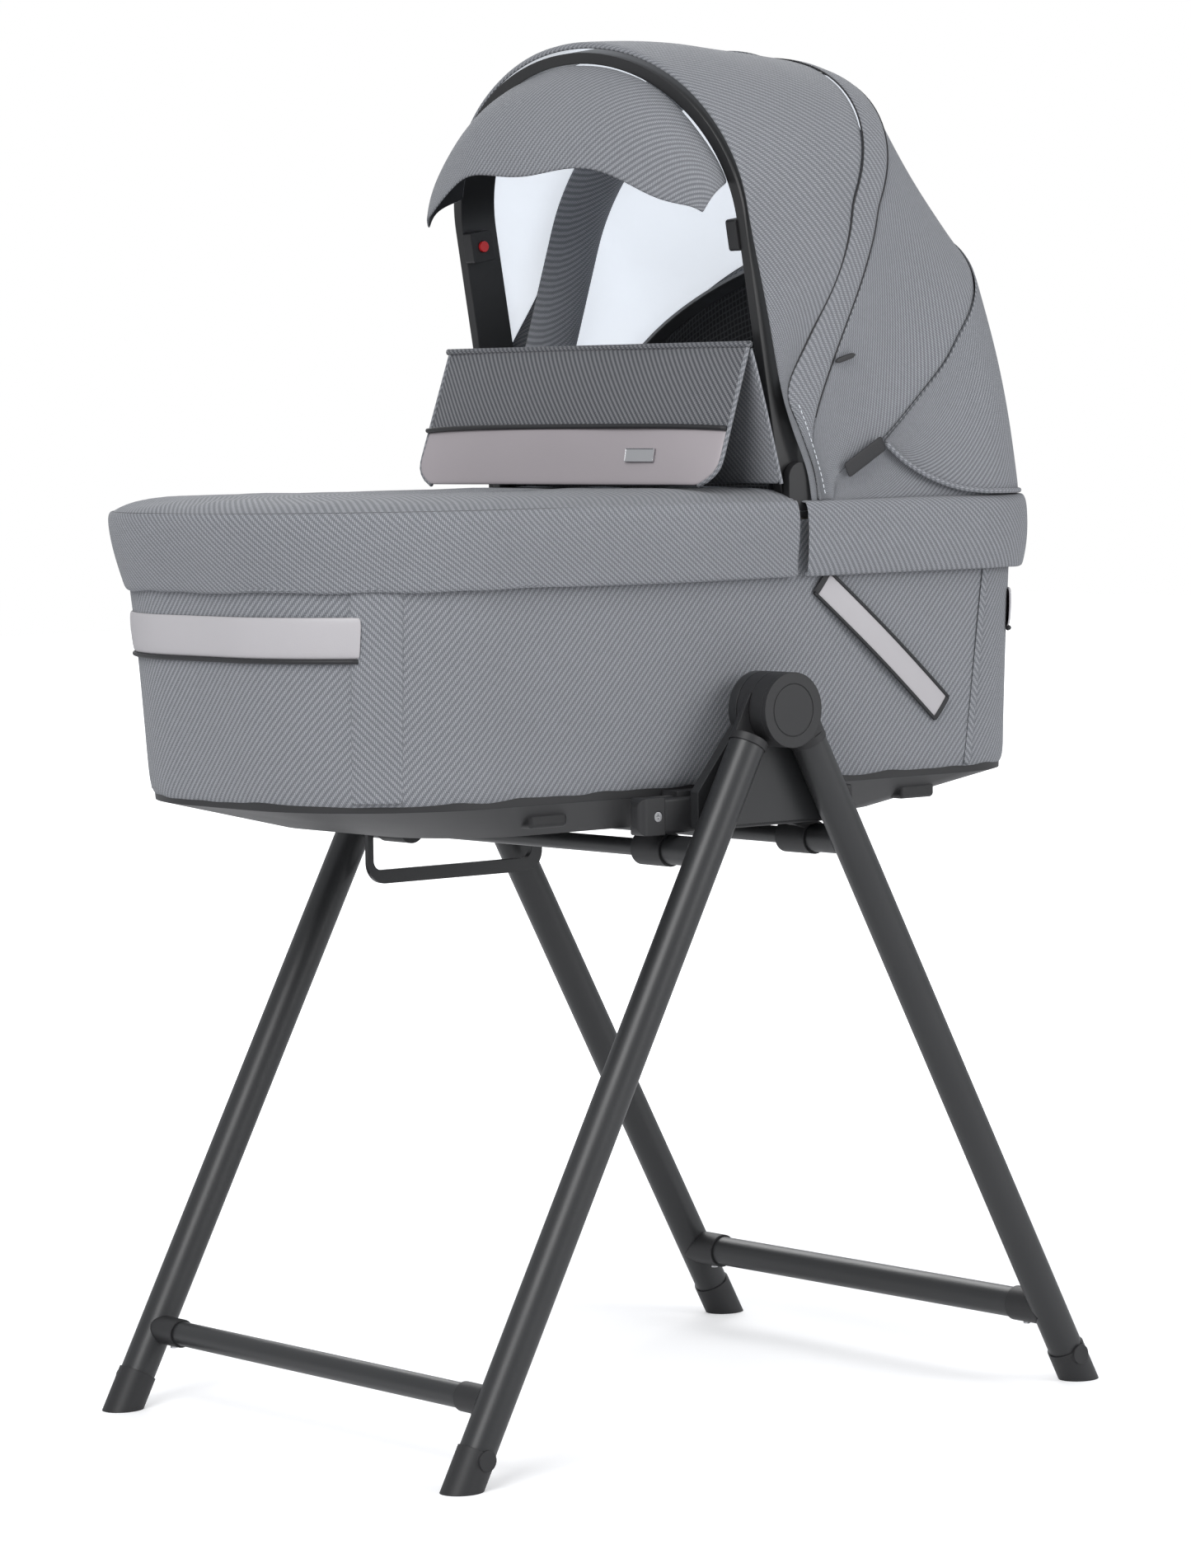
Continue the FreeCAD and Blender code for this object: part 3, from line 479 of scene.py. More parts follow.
def face_outwards(mesh, inside):
    mesh.normal_update()
    lean = sum((f.calc_center_median() - inside).dot(f.normal) * f.calc_area() for f in mesh.faces)
    if lean < 0:
        bmesh.ops.reverse_faces(mesh, faces=mesh.faces[:])
    mesh.normal_update()


def ripple(mesh, shape):
    """Moves each vertex along its normal by shape(place)."""
    moves = [(v, v.normal * shape(v.co)) for v in mesh.verts]
    for vert, move in moves:
        vert.co += move
    mesh.normal_update()


def settle(piece):
    """Applies the modifiers, so the mesh is final."""
    bpy.context.view_layer.update()
    seen = piece.evaluated_get(bpy.context.evaluated_depsgraph_get())
    mesh = bpy.data.meshes.new_from_object(seen)
    piece.modifiers.clear()
    piece.data = mesh


def as_piece(name, mesh, finishes=(), smooth=True):
    data = bpy.data.meshes.new(name)
    mesh.to_mesh(data)
    mesh.free()
    for face in data.polygons:
        face.use_smooth = smooth
    for finish in finishes:
        data.materials.append(finish)
    piece = bpy.data.objects.new(name, data)
    bpy.context.scene.collection.objects.link(piece)
    return piece


def cloth(name, rows, finish, inner=None, wall=0.002, closed=False, inside=None, shape=None, smooth=1):
    mesh = grow(rows, closed)
    bmesh.ops.remove_doubles(mesh, verts=mesh.verts[:], dist=0.0002)
    face_outwards(mesh, inside or spot(0.0, 0.0, 0.05))
    if shape:
        ripple(mesh, shape)
    piece = as_piece(name, mesh, (finish, inner or finish))
    thick = piece.modifiers.new("thickness", "SOLIDIFY")
    thick.thickness, thick.offset, thick.material_offset = wall, -1.0, 1
    round_off = piece.modifiers.new("rounding", "SUBSURF")
    round_off.levels = round_off.render_levels = smooth
    settle(piece)
    print(name, len(piece.data.polygons), "faces")
    return piece


# %% [markdown]
# A cloth that hangs, or is stretched between two edges, was cut flat first. Here its rows are grown
# again and the area of their faces is added up, but the area is not kept.

# %% Area of a sheet
def declare_sheet(rows):
    flat = grow(rows)
    area = sum(face.calc_area() for face in flat.faces)
    flat.free()


# %% [markdown]
# Piping is a thin round cord sewn into a seam: a small circle carried along the seam's line.
# It is grown with the same rows as the cloth, one circle for each point of the line.

# %% Piping and other round edges
def circle_row(centre, tangent, radius, sides, flat=1.0):
    side = tangent.cross(Vector((0, 0, 1)))
    side = side.normalized() if side.length > 1e-4 else Vector((1, 0, 0))
    top = side.cross(tangent).normalized()
    angles = [2 * math.pi * k / sides for k in range(sides)]
    return [centre + side * math.cos(a) * radius * flat + top * math.sin(a) * radius for a in angles]


def piping(name, line, radius, finish, sides=8, flat=1.0):
    line = [Vector(p) for p in line]
    rows = []
    for i, point in enumerate(line):
        tangent = (line[min(i + 1, len(line) - 1)] - line[max(i - 1, 0)]).normalized()
        rows.append(circle_row(point, tangent, radius, sides, flat))
    mesh = grow(rows, closed=True)
    bmesh.ops.holes_fill(mesh, edges=[e for e in mesh.edges if e.is_boundary], sides=0)
    bmesh.ops.recalc_face_normals(mesh, faces=mesh.faces[:])
    return as_piece(name, mesh, (finish,))


# %% [markdown]
# ## The plan of the carrycot
# Seen from above, every layer of the tub is the same rounded outline at another size. An outline
# is five numbers: foot end, head end, half width, and the two corner radii. `walk` goes round it
# in equal steps, all the way or only round the foot or the head.

# %% Outlines
TUB_LOW, TUB_HIGH = (-0.425, 0.385, 0.198, 0.150, 0.110), (-0.449, 0.393, 0.212, 0.172, 0.122)
APRON_LOW, APRON_HIGH = (-0.4485, 0.405, 0.217, 0.178, 0.128), (-0.475, 0.415, 0.222, 0.200, 0.138)
TUB_Z, APRON_Z = (-0.068, 0.165), (0.113, 0.180)


def at_height(low, high, heights, z):
    t = (z - heights[0]) / (heights[1] - heights[0])
    return tuple(a + (b - a) * t for a, b in zip(low, high))


def tub(z):
    return at_height(TUB_LOW, TUB_HIGH, TUB_Z, z)


def skirt(z):
    return at_height(APRON_LOW, APRON_HIGH, APRON_Z, z)


def corner(cx, cy, radius, start, steps=48):
    angles = np.radians(np.linspace(start, start + 90, steps))
    return np.column_stack([cx + radius * np.cos(angles), cy + radius * np.sin(angles)])


def outline(shape, inset=0.0):
    xa, xb, half, ra, rb = shape
    xa, xb, half = xa + inset, xb - inset, half - inset
    ra = min(max(ra - inset, 0.0004), half - 0.0001)
    rb = min(max(rb - inset, 0.0004), half - 0.0001)
    parts = [corner(xb - rb, half - rb, rb, 0), corner(xa + ra, half - ra, ra, 90),
             corner(xa + ra, -half + ra, ra, 180), corner(xb - rb, -half + rb, rb, 270)]
    return np.vstack([[[xb, 0.0]]] + parts + [[[xb, 0.0]]])


def even(line, count):
    line = np.asarray(line, float)
    length = np.concatenate([[0], np.cumsum(np.linalg.norm(np.diff(line, axis=0), axis=1))])
    wanted = np.linspace(0, length[-1], count)
    return np.column_stack([np.interp(wanted, length, line[:, k]) for k in range(line.shape[1])])


def walk(shape, z, inset, count, stop=None, end=0):
    """Points at height z: closed (end 0), or round the foot (-1) or the head (+1) from stop to stop."""
    line = even(outline(shape, inset), 1600)
    if end == 0:
        line = even(line, count + 1)[:-1]
    elif end < 0:
        line = even(line[line[:, 0] <= stop], count)
    else:
        line = np.roll(line[:-1], 800, axis=0)
        line = even(line[line[:, 0] >= stop], count)
    return [spot(x, y, z) for x, y in line]


def side_place(shape, x, proud=0.0):
    """y of the outline's side at x (as a positive number), and x pushed out by proud."""
    xa, xb, half, ra, rb = shape
    if x < xa + ra:
        turn = math.acos(max(-1.0, min(1.0, (xa + ra - x) / ra)))
        return x - math.cos(turn) * proud, half - ra + math.sin(turn) * (ra + proud)
    if x > xb - rb:
        turn = math.acos(max(-1.0, min(1.0, (x - xb + rb) / rb)))
        return x + math.cos(turn) * proud, half - rb + math.sin(turn) * (rb + proud)
    return x, half + proud


print("outline of the tub's rim:", [round(v, 3) for v in TUB_HIGH])

# %% [markdown]
# ## The tub's cover
# A taut twill sleeve round the board walls. It turns under the tray at the bottom, where elastic
# puckers it a little, and it is gathered under the apron at the foot end. Those gathers are a
# sine along the edge that fades with height, and a soft noise keeps the long sides from being
# dead flat.

# %% Tub cover
def tub_shape(p):
    x, z = p.x - HUB.x, p.z - HUB.z
    soft = noise.noise(Vector((x * 5, p.y * 5, z * 9))) * 0.0011
    hem = noise.noise(Vector((x * 30, p.y * 30, 3.0))) * 0.0016 * max(0.0, min(1.0, (-0.035 - z) / 0.03))
    gather = 0.0
    if z > 0.088 and x < -0.34:
        along = math.atan2(p.y, x + 0.27) * 0.20
        rise = min(1.0, (z - 0.088) / 0.02) * min(1.0, (-0.34 - x) / 0.04)
        gather = math.sin(along / 0.0034 + 3 * noise.noise(Vector((along * 20, 0, 0)))) * 0.0011 * rise
    return soft + hem + gather


TUB_ROWS = [(0.164, 0.0)] + [(0.16 - 0.0105 * k, 0.0) for k in range(21)]
TUB_ROWS += [(-0.0570, 0.0003), (-0.0630, 0.0010), (-0.0672, 0.0026), (-0.0692, 0.0056), (-0.0690, 0.0110)]
tub_cover = cloth("tub_cover", [walk(tub(z), z, inset, 250) for z, inset in TUB_ROWS], grey_twill,
                  wall=0.0018, closed=True, shape=tub_shape)
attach(tub_cover, "carrycot")
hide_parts("tub_fabric")

# %% [markdown]
# Where the foot panel meets the side panel a folded strip of twill covers the join, and a
# narrower one does so at the head. Each is a flat strip laid on the slope of the wall, a little
# proud of it, with its long edges turned in.

# %% Seam strips
def seam_strip(name, side, low, high, z_low=-0.0665, z_high=0.150):
    rows = []
    for k in range(13):
        t = k / 12
        z = z_low + (z_high - z_low) * t
        row = []
        for j, proud in enumerate((0.0002, 0.0013, 0.0016, 0.0016, 0.0016, 0.0013, 0.0002)):
            w = (0.0, 0.04, 0.2, 0.5, 0.8, 0.96, 1.0)[j]
            a, b = low[0] + (low[1] - low[0]) * w, high[0] + (high[1] - high[0]) * w
            x, y = side_place(tub(z), a + (b - a) * t, proud)
            row.append(spot(x, side * y, z))
        rows.append(row)
    strip = cloth(name, rows, grey_twill, wall=0.0012)
    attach(strip, "carrycot")


for side, word in ((-1, "near"), (1, "far")):
    seam_strip("foot_seam_strip_" + word, side, (-0.389, -0.356), (-0.398, -0.362))
    seam_strip("head_seam_strip_" + word, side, (0.272, 0.280), (0.292, 0.300))

# %% [markdown]
# A band of pale imitation leather wraps each end of the tub, with a black piping under it. The
# band is a shallow cushion in section: its two edges are turned in and its middle stands proud.

# %% End bands
BAND = [(0.0930, 0.0006), (0.0922, 0.0022), (0.0880, 0.0032), (0.0750, 0.0037), (0.0620, 0.0032),
        (0.0580, 0.0022), (0.0572, 0.0006)]
for word, end, stop, count in (("foot", -1, -0.390, 70), ("head", 1, 0.345, 60)):
    band = cloth(word + "_band", [walk(tub(z), z, -proud, count, stop, end) for z, proud in BAND],
                 light_leather, wall=0.0010)
    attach(band, "carrycot")
    if end < 0:
        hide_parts("foot_band")
    cord_line = walk(tub(0.0556), 0.0556, -0.0022, count, stop, end)
    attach(piping(word + "_band_piping", cord_line, 0.0021, black_piping), "carrycot")

# %% [markdown]
# A slanting grab strap is sewn to each side: pale leather with a narrow black binding along both
# edges, and a folded black end at the top. It bows away from the wall so fingers fit under it.

# %% Side handles
HANDLE_TOP, HANDLE_FOOT, HANDLE_HALF = Vector((0.088, 0, 0.108)), Vector((0.240, 0, -0.012)), 0.0125
slope = HANDLE_FOOT - HANDLE_TOP
across = Vector((slope.z, 0, -slope.x)).normalized()


def strap_place(side, t, w, lift):
    p = HANDLE_TOP + slope * t + across * w
    bow = 0.0036 * math.sin(math.pi * t) + 0.0010
    return spot(p.x, side * (side_place(tub(p.z), p.x)[1] + bow + lift), p.z)


for side, word in ((-1, "near"), (1, "far")):
    widths = [HANDLE_HALF * w for w in (-1, -0.92, -0.5, 0, 0.5, 0.92, 1)]
    rise = [0.0004, 0.0016, 0.0020, 0.0021, 0.0020, 0.0016, 0.0004]
    rows = [[strap_place(side, k / 16, w, r) for w, r in zip(widths, rise)] for k in range(17)]
    strap = cloth("side_handle_" + word, rows, light_leather, black_piping, wall=0.0012)
    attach(strap, "carrycot")
    for edge, edge_word in ((-1, "low"), (1, "high")):
        line = [strap_place(side, k / 20, edge * HANDLE_HALF, 0.0012) for k in range(21)]
        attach(piping("handle_%s_%s_binding" % (word, edge_word), line, 0.0017, black_piping), "carrycot")
    for t0, t1, end_word in ((-0.012, 0.022, "top"), (0.985, 1.012, "foot")):
        rows = [[strap_place(side, t0 + (t1 - t0) * k / 4, w * 1.03, r + 0.0006)
                 for w, r in zip(widths, rise)] for k in range(5)]
        fold = cloth("handle_%s_%s_fold" % (word, end_word), rows, black_piping, wall=0.0014)
        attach(fold, "carrycot")
    if side < 0:
        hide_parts("side_handles")

# %% [markdown]
# ## The apron
# The foot cover is a deep skirt hooked over the rim and a softly padded top. A seam runs round
# between them. From the seam inwards the rows close in on the middle line like contour lines on
# a hill, which keeps the weave running round the foot. Short gathers sit just inside the seam.

# %% Apron
def apron_shape(p):
    x, z = p.x - HUB.x, p.z - HUB.z
    along = math.atan2(p.y, x + 0.24) * 0.24
    foot = max(0.0, min(1.0, (-0.20 - x) / 0.12))
    soft = noise.noise(Vector((x * 6, p.y * 6, z * 8 + 5))) * 0.0016
    low = max(0.0, min(1.0, (0.128 - z) / 0.014))
    hem = noise.noise(Vector((x * 22, p.y * 22, 9.0))) * 0.0024 * foot * low
    top = max(0.0, min(1.0, (z - 0.1825) / 0.006))
    pucker = noise.noise(Vector((x * 26, p.y * 26, 1.0))) * 0.0020 * top
    return soft + hem + pucker


APRON_ROWS = [(0.1175, 0.0032), (0.1140, 0.0026), (0.1124, 0.0010), (0.1140, -0.0003), (0.1240, -0.0004),
              (0.1340, -0.0008), (0.1440, -0.0012), (0.1540, -0.0012), (0.1640, -0.0006), (0.1720, 0.0004),
              (0.1775, 0.0020), (0.1806, 0.0046), (0.1800, 0.0064), (0.1814, 0.0086), (0.1840, 0.0130),
              (0.1868, 0.0200), (0.1890, 0.0300), (0.1905, 0.0450), (0.1915, 0.0650), (0.1920, 0.0900),
              (0.1922, 0.1200), (0.1922, 0.1500), (0.1922, 0.1800), (0.1920, 0.2050), (0.1920, 0.2216)]
apron_rows = [walk(skirt(z) if z < 0.18 and inset < 0.006 else skirt(0.180), z, inset, 190, 0.0555, -1)
              for z, inset in APRON_ROWS]
apron = cloth("apron_cover", apron_rows, grey_twill, grey_twill, wall=0.0020, shape=apron_shape)
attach(apron, "carrycot")
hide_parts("apron")
seam = [p - Vector((0, 0, 0.0006)) for p in walk(skirt(0.180), 0.1800, 0.0062, 190, 0.0555, -1)]
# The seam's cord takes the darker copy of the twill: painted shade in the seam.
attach(piping("apron_seam", seam, 0.0014, shaded_twill, 6), "carrycot")

# %% [markdown]
# The hood has a skirt of its own round the head end. It is the same sewing: a turned hem, a
# slightly full wall, and a seam at the top where the hood's cloth begins.

# %% Head skirt
def skirt_shape(p):
    x, z = p.x - HUB.x, p.z - HUB.z
    head = max(0.0, min(1.0, (x - 0.25) / 0.12))
    soft = noise.noise(Vector((x * 6, p.y * 6, z * 8 + 15))) * 0.0014
    low = max(0.0, min(1.0, (0.128 - z) / 0.014))
    return soft + head * noise.noise(Vector((x * 24, p.y * 24, 4.0))) * 0.0016 * low


SKIRT_ROWS = [(0.1175, 0.0034), (0.1140, 0.0028), (0.1126, 0.0008), (0.1145, -0.0006), (0.1240, -0.0016),
              (0.1340, -0.0022), (0.1440, -0.0022), (0.1540, -0.0016), (0.1640, -0.0004), (0.1720, 0.0010),
              (0.1770, 0.0030), (0.1800, 0.0056), (0.1794, 0.0074), (0.1804, 0.0100), (0.1804, 0.0170)]
rows = [walk(skirt(z) if z < 0.18 and inset < 0.006 else skirt(0.180), z, inset, 150, 0.0640, 1)
        for z, inset in SKIRT_ROWS]
head_skirt = cloth("head_skirt_cover", rows, grey_twill, grey_twill, wall=0.0020, shape=skirt_shape)
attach(head_skirt, "carrycot")
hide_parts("head_skirt")

# %% [markdown]
# ## The hood
# The hood's seams are arches. Each starts on the rim at the near side, climbs to the shoulder,
# crosses the crown on a quarter ellipse, and comes down the far side the same way. `arch` takes
# the side line as (x, z) points beside the hub and the crown's place, and returns even steps.

# %% Hood seams
def through(points, steps=12):
    """A smooth line through points."""
    p = np.array(points, float)
    p = np.vstack([2 * p[0] - p[1], p, 2 * p[-1] - p[-2]])
    line = []
    for a, b, c, d in zip(p, p[1:], p[2:], p[3:]):
        for t in np.arange(steps) / steps:
            line.append(0.5 * (2 * b + (c - a) * t + (2 * a - 5 * b + 4 * c - d) * t ** 2
                               + (3 * b - a - 3 * c + d) * t ** 3))
    return np.array(line + [p[-2]])


ARCH_STEPS = 121


def arch(side, crown, half, base=0.2155, count=ARCH_STEPS):
    low = through(side)
    f = np.linspace(0, 1, len(low))
    turn = np.radians(np.linspace(0, 90, 60))[1:]
    shoulder, top = low[-1], np.array(crown)
    xz = np.vstack([low, shoulder + (top - shoulder) * np.sin(turn)[:, None]])
    y = np.concatenate([-(base + (half - base) * f), -half * np.cos(turn)])
    near = even(np.column_stack([xz[:, 0], y, xz[:, 1]]), count // 2 + 1)
    far = near[:-1][::-1] * np.array([1, -1, 1])
    return np.vstack([near, far])


FRONT_SIDE = [(0.073, 0.179), (0.069, 0.207), (0.054, 0.243), (0.043, 0.277), (0.030, 0.340), (0.016, 0.400),
              (0.010, 0.433)]
MERGE = [(0.081, 0.179), (0.077, 0.207), (0.062, 0.243), (0.049, 0.277)]
front_hem = arch(FRONT_SIDE, (-0.012, 0.5925), 0.2060)
front_under = arch([(x + 0.003, z) for x, z in FRONT_SIDE], (-0.012, 0.5860), 0.2035, 0.2125)
first_seam = arch(MERGE + [(0.076, 0.322), (0.109, 0.370), (0.128, 0.410), (0.136, 0.445)],
                  (0.205, 0.584), 0.2065)
second_seam = arch([(0.084, 0.179), (0.080, 0.207), (0.077, 0.229), (0.084, 0.258), (0.108, 0.308),
                    (0.139, 0.367), (0.158, 0.411), (0.166, 0.440)], (0.234, 0.576), 0.2065)
third_seam = arch([(0.100, 0.179), (0.107, 0.203), (0.160, 0.231), (0.206, 0.268), (0.240, 0.300),
                   (0.262, 0.327)], (0.352, 0.432), 0.2085)
MIDDLE = np.array([0.068, 0.0, 0.195])
PIVOT = spot(*MIDDLE)


def between(a, b, s, sag=0.0):
    """The arch a share s of the way from a to b, pulled towards the pivot by sag in the middle."""
    line = a + (b - a) * s
    inward = MIDDLE - line
    inward[:, 1] *= 0.6
    reach = np.linalg.norm(inward, axis=1)[:, None]
    strength = sag * math.sin(math.pi * s) * np.clip((reach - 0.06) / 0.2, 0, 1)
    return line + inward / reach * strength


def placed(line):
    return [spot(*p) for p in line]


print("hood arches:", len(front_hem), "points each")

# %% [markdown]
# The front panel rolls over the front bow and is stretched back to the first seam. Its front
# rows turn down onto the bow, which makes the padded edge seen from the front. Inside it is white.

# %% Front panel
def hood_shape(p):
    x, z = p.x - HUB.x, p.z - HUB.z
    reach = max(0.0, min(1.0, (math.hypot(x - 0.068, z - 0.195) - 0.07) / 0.12))
    slow = noise.noise(Vector((x * 9, p.y * 5, z * 5))) * 0.0034
    fold = noise.noise(Vector((x * 22 + z * 6, p.y * 8, z * 7 + 4))) * 0.0018
    return (slow + fold) * reach


front_rows = [placed(between(front_hem, first_seam, s / 14, -0.004)) for s in range(15)]
front_panel = cloth("hood_front_cloth", [placed(front_under)] + front_rows, grey_twill, glowing_hood_lining,
                    wall=0.0022, inside=PIVOT, shape=hood_shape)
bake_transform(front_panel)
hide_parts("hood_front_panel")

# %% [markdown]
# Over the middle bow runs a strap-like band of twill with a seam on each side, and under the bow
# a tunnel of the same cloth hides it. Both belong to the middle bow, so they swing with it.

# %% Band over the middle bow
def band_rows(first, second, lift, count=5):
    rows = []
    for k in range(count):
        s = k / (count - 1)
        line = between(first, second, s)
        out = line - MIDDLE
        out /= np.linalg.norm(out, axis=1)[:, None]
        rise = lift * (0.15 if k in (0, count - 1) else 1.0)
        rows.append(placed(line + out * rise))
    return rows


mid_band = cloth("hood_mid_band", band_rows(first_seam, second_seam, 0.0022, 7), grey_twill, wall=0.0014,
                 inside=PIVOT)
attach(mid_band, "hood_mid")
for word, line in (("front", first_seam), ("rear", second_seam)):
    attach(piping("hood_band_%s_seam" % word, placed(between(line, line, 0))[8:-8], 0.0008, black_piping, 6),
            "hood_mid")


def bow_line(half, crown, rise, ahead, lean, base=0.05):
    """A line round a bow: half width, crown and rise from the pivot, ahead of its plane by ahead."""
    a = math.radians(lean)
    shoulder = crown - rise
    turn = np.radians(np.linspace(0, 180, 81))
    y = np.concatenate([[-half] * 12, -half * np.cos(turn[1:-1]), [half] * 12])
    up = np.linspace(base, shoulder, 12)
    r = np.concatenate([up, shoulder + rise * np.sin(turn[1:-1]), up[::-1]])
    return np.column_stack([MIDDLE[0] + r * math.sin(a) - ahead * math.cos(a), y,
                            MIDDLE[2] + r * math.cos(a) + ahead * math.sin(a)])


tunnel_rows = [placed(even(bow_line(0.1885 - d, 0.4055 - d, 0.165, n, 17.5), 100))
               for n, d in ((0.030, 0.000), (0.018, 0.0085), (0, 0.0100), (-0.018, 0.0085), (-0.030, 0.000))]
tunnel = cloth("hood_bow_tunnel", tunnel_rows, grey_twill, wall=0.0012, inside=PIVOT)
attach(tunnel, "hood_mid")

# %% [markdown]
# The middle panel goes from the band to the third seam. It is fixed to the tub at the back and to
# the middle bow at the front; here it is one piece hung on neither, so it does not fold.

# %% Middle panel
mid_rows = [placed(between(second_seam, third_seam, s / 16, 0.005)) for s in range(17)]
mid_panel = cloth("hood_mid_cloth", mid_rows, grey_twill, glowing_hood_lining, wall=0.0022, inside=PIVOT,
                  shape=hood_shape)
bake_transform(mid_panel)
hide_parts("hood_mid_panel")

# %% [markdown]
# Behind the third seam hangs a loose vent flap with a piped hem. Under it the hood goes on: twill
# at the sides, and inside a black airing mesh. Both stay with the tub.

# %% Vent flap and lower hood
rim_line = arch([(0.100, 0.179), (0.120, 0.1790), (0.150, 0.1790), (0.190, 0.1790), (0.230, 0.1790),
                 (0.270, 0.1790)], (0.405, 0.1795), 0.2125)
lower_rows = [placed(between(third_seam, rim_line, s / 12, 0.004)) for s in range(13)]
lower = cloth("hood_lower_cloth", lower_rows, grey_twill, black_mesh, wall=0.0020, inside=PIVOT,
              shape=lambda p: hood_shape(p) * 0.4)
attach(lower, "carrycot")
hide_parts("hood_rear_panel")

flap_top = arch([(0.160, 0.231), (0.185, 0.250), (0.206, 0.268), (0.240, 0.300), (0.262, 0.327)],
                (0.354, 0.434), 0.2105, 0.2175)
flap_hem = arch([(0.161, 0.229), (0.185, 0.212), (0.215, 0.198), (0.250, 0.188), (0.285, 0.184)],
                (0.424, 0.182), 0.2185, 0.2185)
flap_rows = [placed(between(flap_top, flap_hem, s / 14, -0.004)) for s in range(15)]
flap = cloth("hood_vent_flap", flap_rows, grey_twill, wall=0.0020, inside=PIVOT,
             shape=lambda p: hood_shape(p) * 0.7)
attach(flap, "carrycot")
declare_sheet(flap_rows)
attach(piping("vent_flap_piping", placed(flap_hem), 0.0024, grey_twill), "carrycot")

# %% [markdown]
# Small things on the hood: a plain black tab where the vent flap starts, the puller of the zip
# behind the band, and a row of pale stitches down the front edge near the rim.

# %% Tab, zip puller and stitches
def tab(name, side, start, finish_point, width, finish, lift, thick=0.0012):
    a, b = Vector((start[0], 0, start[1])), Vector((finish_point[0], 0, finish_point[1]))
    run = (b - a).normalized()
    up = Vector((-run.z, 0, run.x))
    rows = []
    for k in range(9):
        p = a + (b - a) * k / 8
        taper = 1.0 if name.startswith("side_tab") else math.sqrt(max(0.05, 1 - (abs(k - 4) / 4) ** 6))
        places = [p + up * w * width * taper for w in (-0.5, -0.25, 0, 0.25, 0.5)]
        rows.append([spot(place.x, side * lift(k / 8), place.z) for place in places])
    return cloth(name, rows, finish, wall=thick)


for side, word in ((-1, "near"), (1, "far")):
    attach(tab("side_tab_" + word, side, (0.112, 0.205), (0.158, 0.230), 0.0145, black_piping,
                lambda t: 0.2195), "carrycot")
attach(tab("zip_puller", -1, (0.104, 0.302), (0.128, 0.3085), 0.0052, black_plastic,
            lambda t: 0.2160, 0.0024), "hood_mid")


def stitches(name, line, body, length=0.0032, gap=0.0022, radius=0.00035):
    line = even(line, 400)
    total = np.linalg.norm(np.diff(line, axis=0), axis=1).sum()
    mesh = bmesh.new()
    for k in range(int(total / (length + gap))):
        start = k * (length + gap)
        a, b = (spot(*line[min(399, int(399 * d / total))]) for d in (start, start + length))
        turn = (b - a).to_track_quat("Z", "Y").to_matrix().to_4x4()
        bmesh.ops.create_cone(mesh, cap_ends=True, segments=5, radius1=radius, radius2=radius,
                              depth=(b - a).length, matrix=Matrix.Translation((a + b) / 2) @ turn)
    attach(as_piece(name, mesh, (white_lining,), smooth=False), body)


for side, word in ((-1, "near"), (1, "far")):
    side_line = through([(0.088, 0.186), (0.082, 0.207), (0.068, 0.243), (0.055, 0.270)])
    stitches("hood_edge_stitches_" + word,
             np.column_stack([side_line[:, 0], np.full(len(side_line), side * 0.2172), side_line[:, 1]]),
             "hood_mid")

# %% [markdown]
# ## The sun visor
# A short brim sewn inside the front bow. Its hem falls in shallow waves, and its inside is black.
# The rows run from the bow to the hem and bulge outwards between them.

# %% Visor
def visor_rows(count=14):
    a = math.radians(-9.5)
    half, crown, rise = 0.1925, 0.3850, 0.1500
    rows = []
    for i in range(count + 1):
        s = i / count
        row = []
        for k in range(73):
            t = math.radians(14 + 152 * k / 72)
            r, ahead = crown - rise + rise * math.sin(t), 0.0195
            top = Vector((MIDDLE[0] + r * math.sin(a) - ahead * math.cos(a), half * math.cos(t),
                          MIDDLE[2] + r * math.cos(a) + ahead * math.sin(a)))
            wave = 0.005 * math.sin(7.0 * t) * s
            hem = Vector((-0.020 - 0.056 * math.sin(t) ** 1.2, 0.199 * math.cos(t),
                          0.412 + 0.060 * math.sin(t) + wave))
            out = Vector((-0.6, math.cos(t) * 0.6, 0.6 * math.sin(t) + 0.25)).normalized()
            bulge = (0.016 * math.sin(math.pi * s) + 0.004 * s) * math.sin(t) ** 0.5
            row.append(spot(*(top + (hem - top) * s + out * bulge)))
        rows.append(row)
    return rows


rows = visor_rows()
visor = cloth("visor_cloth", rows, grey_twill, black_lining, wall=0.0024, inside=spot(0.06, 0, 0.40),
              shape=lambda p: noise.noise(Vector((p.x * 14, p.y * 16, p.z * 16))) * 0.0030)
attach(visor, "hood_front")
declare_sheet(rows)
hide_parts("visor")

# %% [markdown]
# ## The folded windscreen
# A flap of twill with a leather foot stands folded like a tent in front of the hood. The front
# half swings on the ridge, the rear half is sewn to the apron. The leather part is slightly
# padded, its lower corners are round, and a black piping marks where it meets the twill.

# %% Windscreen
RIDGE, FRONT_FOOT, REAR_FOOT, SCREEN_HALF = (0.005, 0.318), (-0.035, 0.1945), (0.036, 0.1955), 0.2130
LEATHER_FROM = 0.60


def front_place(v, u, lift=0.0):
    """v from the ridge (0) to the foot (1), u from the near edge (-1) to the far edge (+1)."""
    dx, dz = FRONT_FOOT[0] - RIDGE[0], FRONT_FOOT[1] - RIDGE[1]
    length = math.hypot(dx, dz)
    nx, nz = dz / length, -dx / length
    swell = 0.0100 * math.sin(math.pi * min(1.0, v ** 0.8)) * (1 - abs(u) ** 4) + 0.0025 * v
    rounding = 1 - 0.11 * max(0.0, (v - 0.78) / 0.22) ** 3
    wide = SCREEN_HALF * (0.985 + 0.012 * v) * rounding
    push = swell + lift
    return spot(RIDGE[0] + dx * v + nx * push, u * wide, RIDGE[1] + dz * v + nz * push)


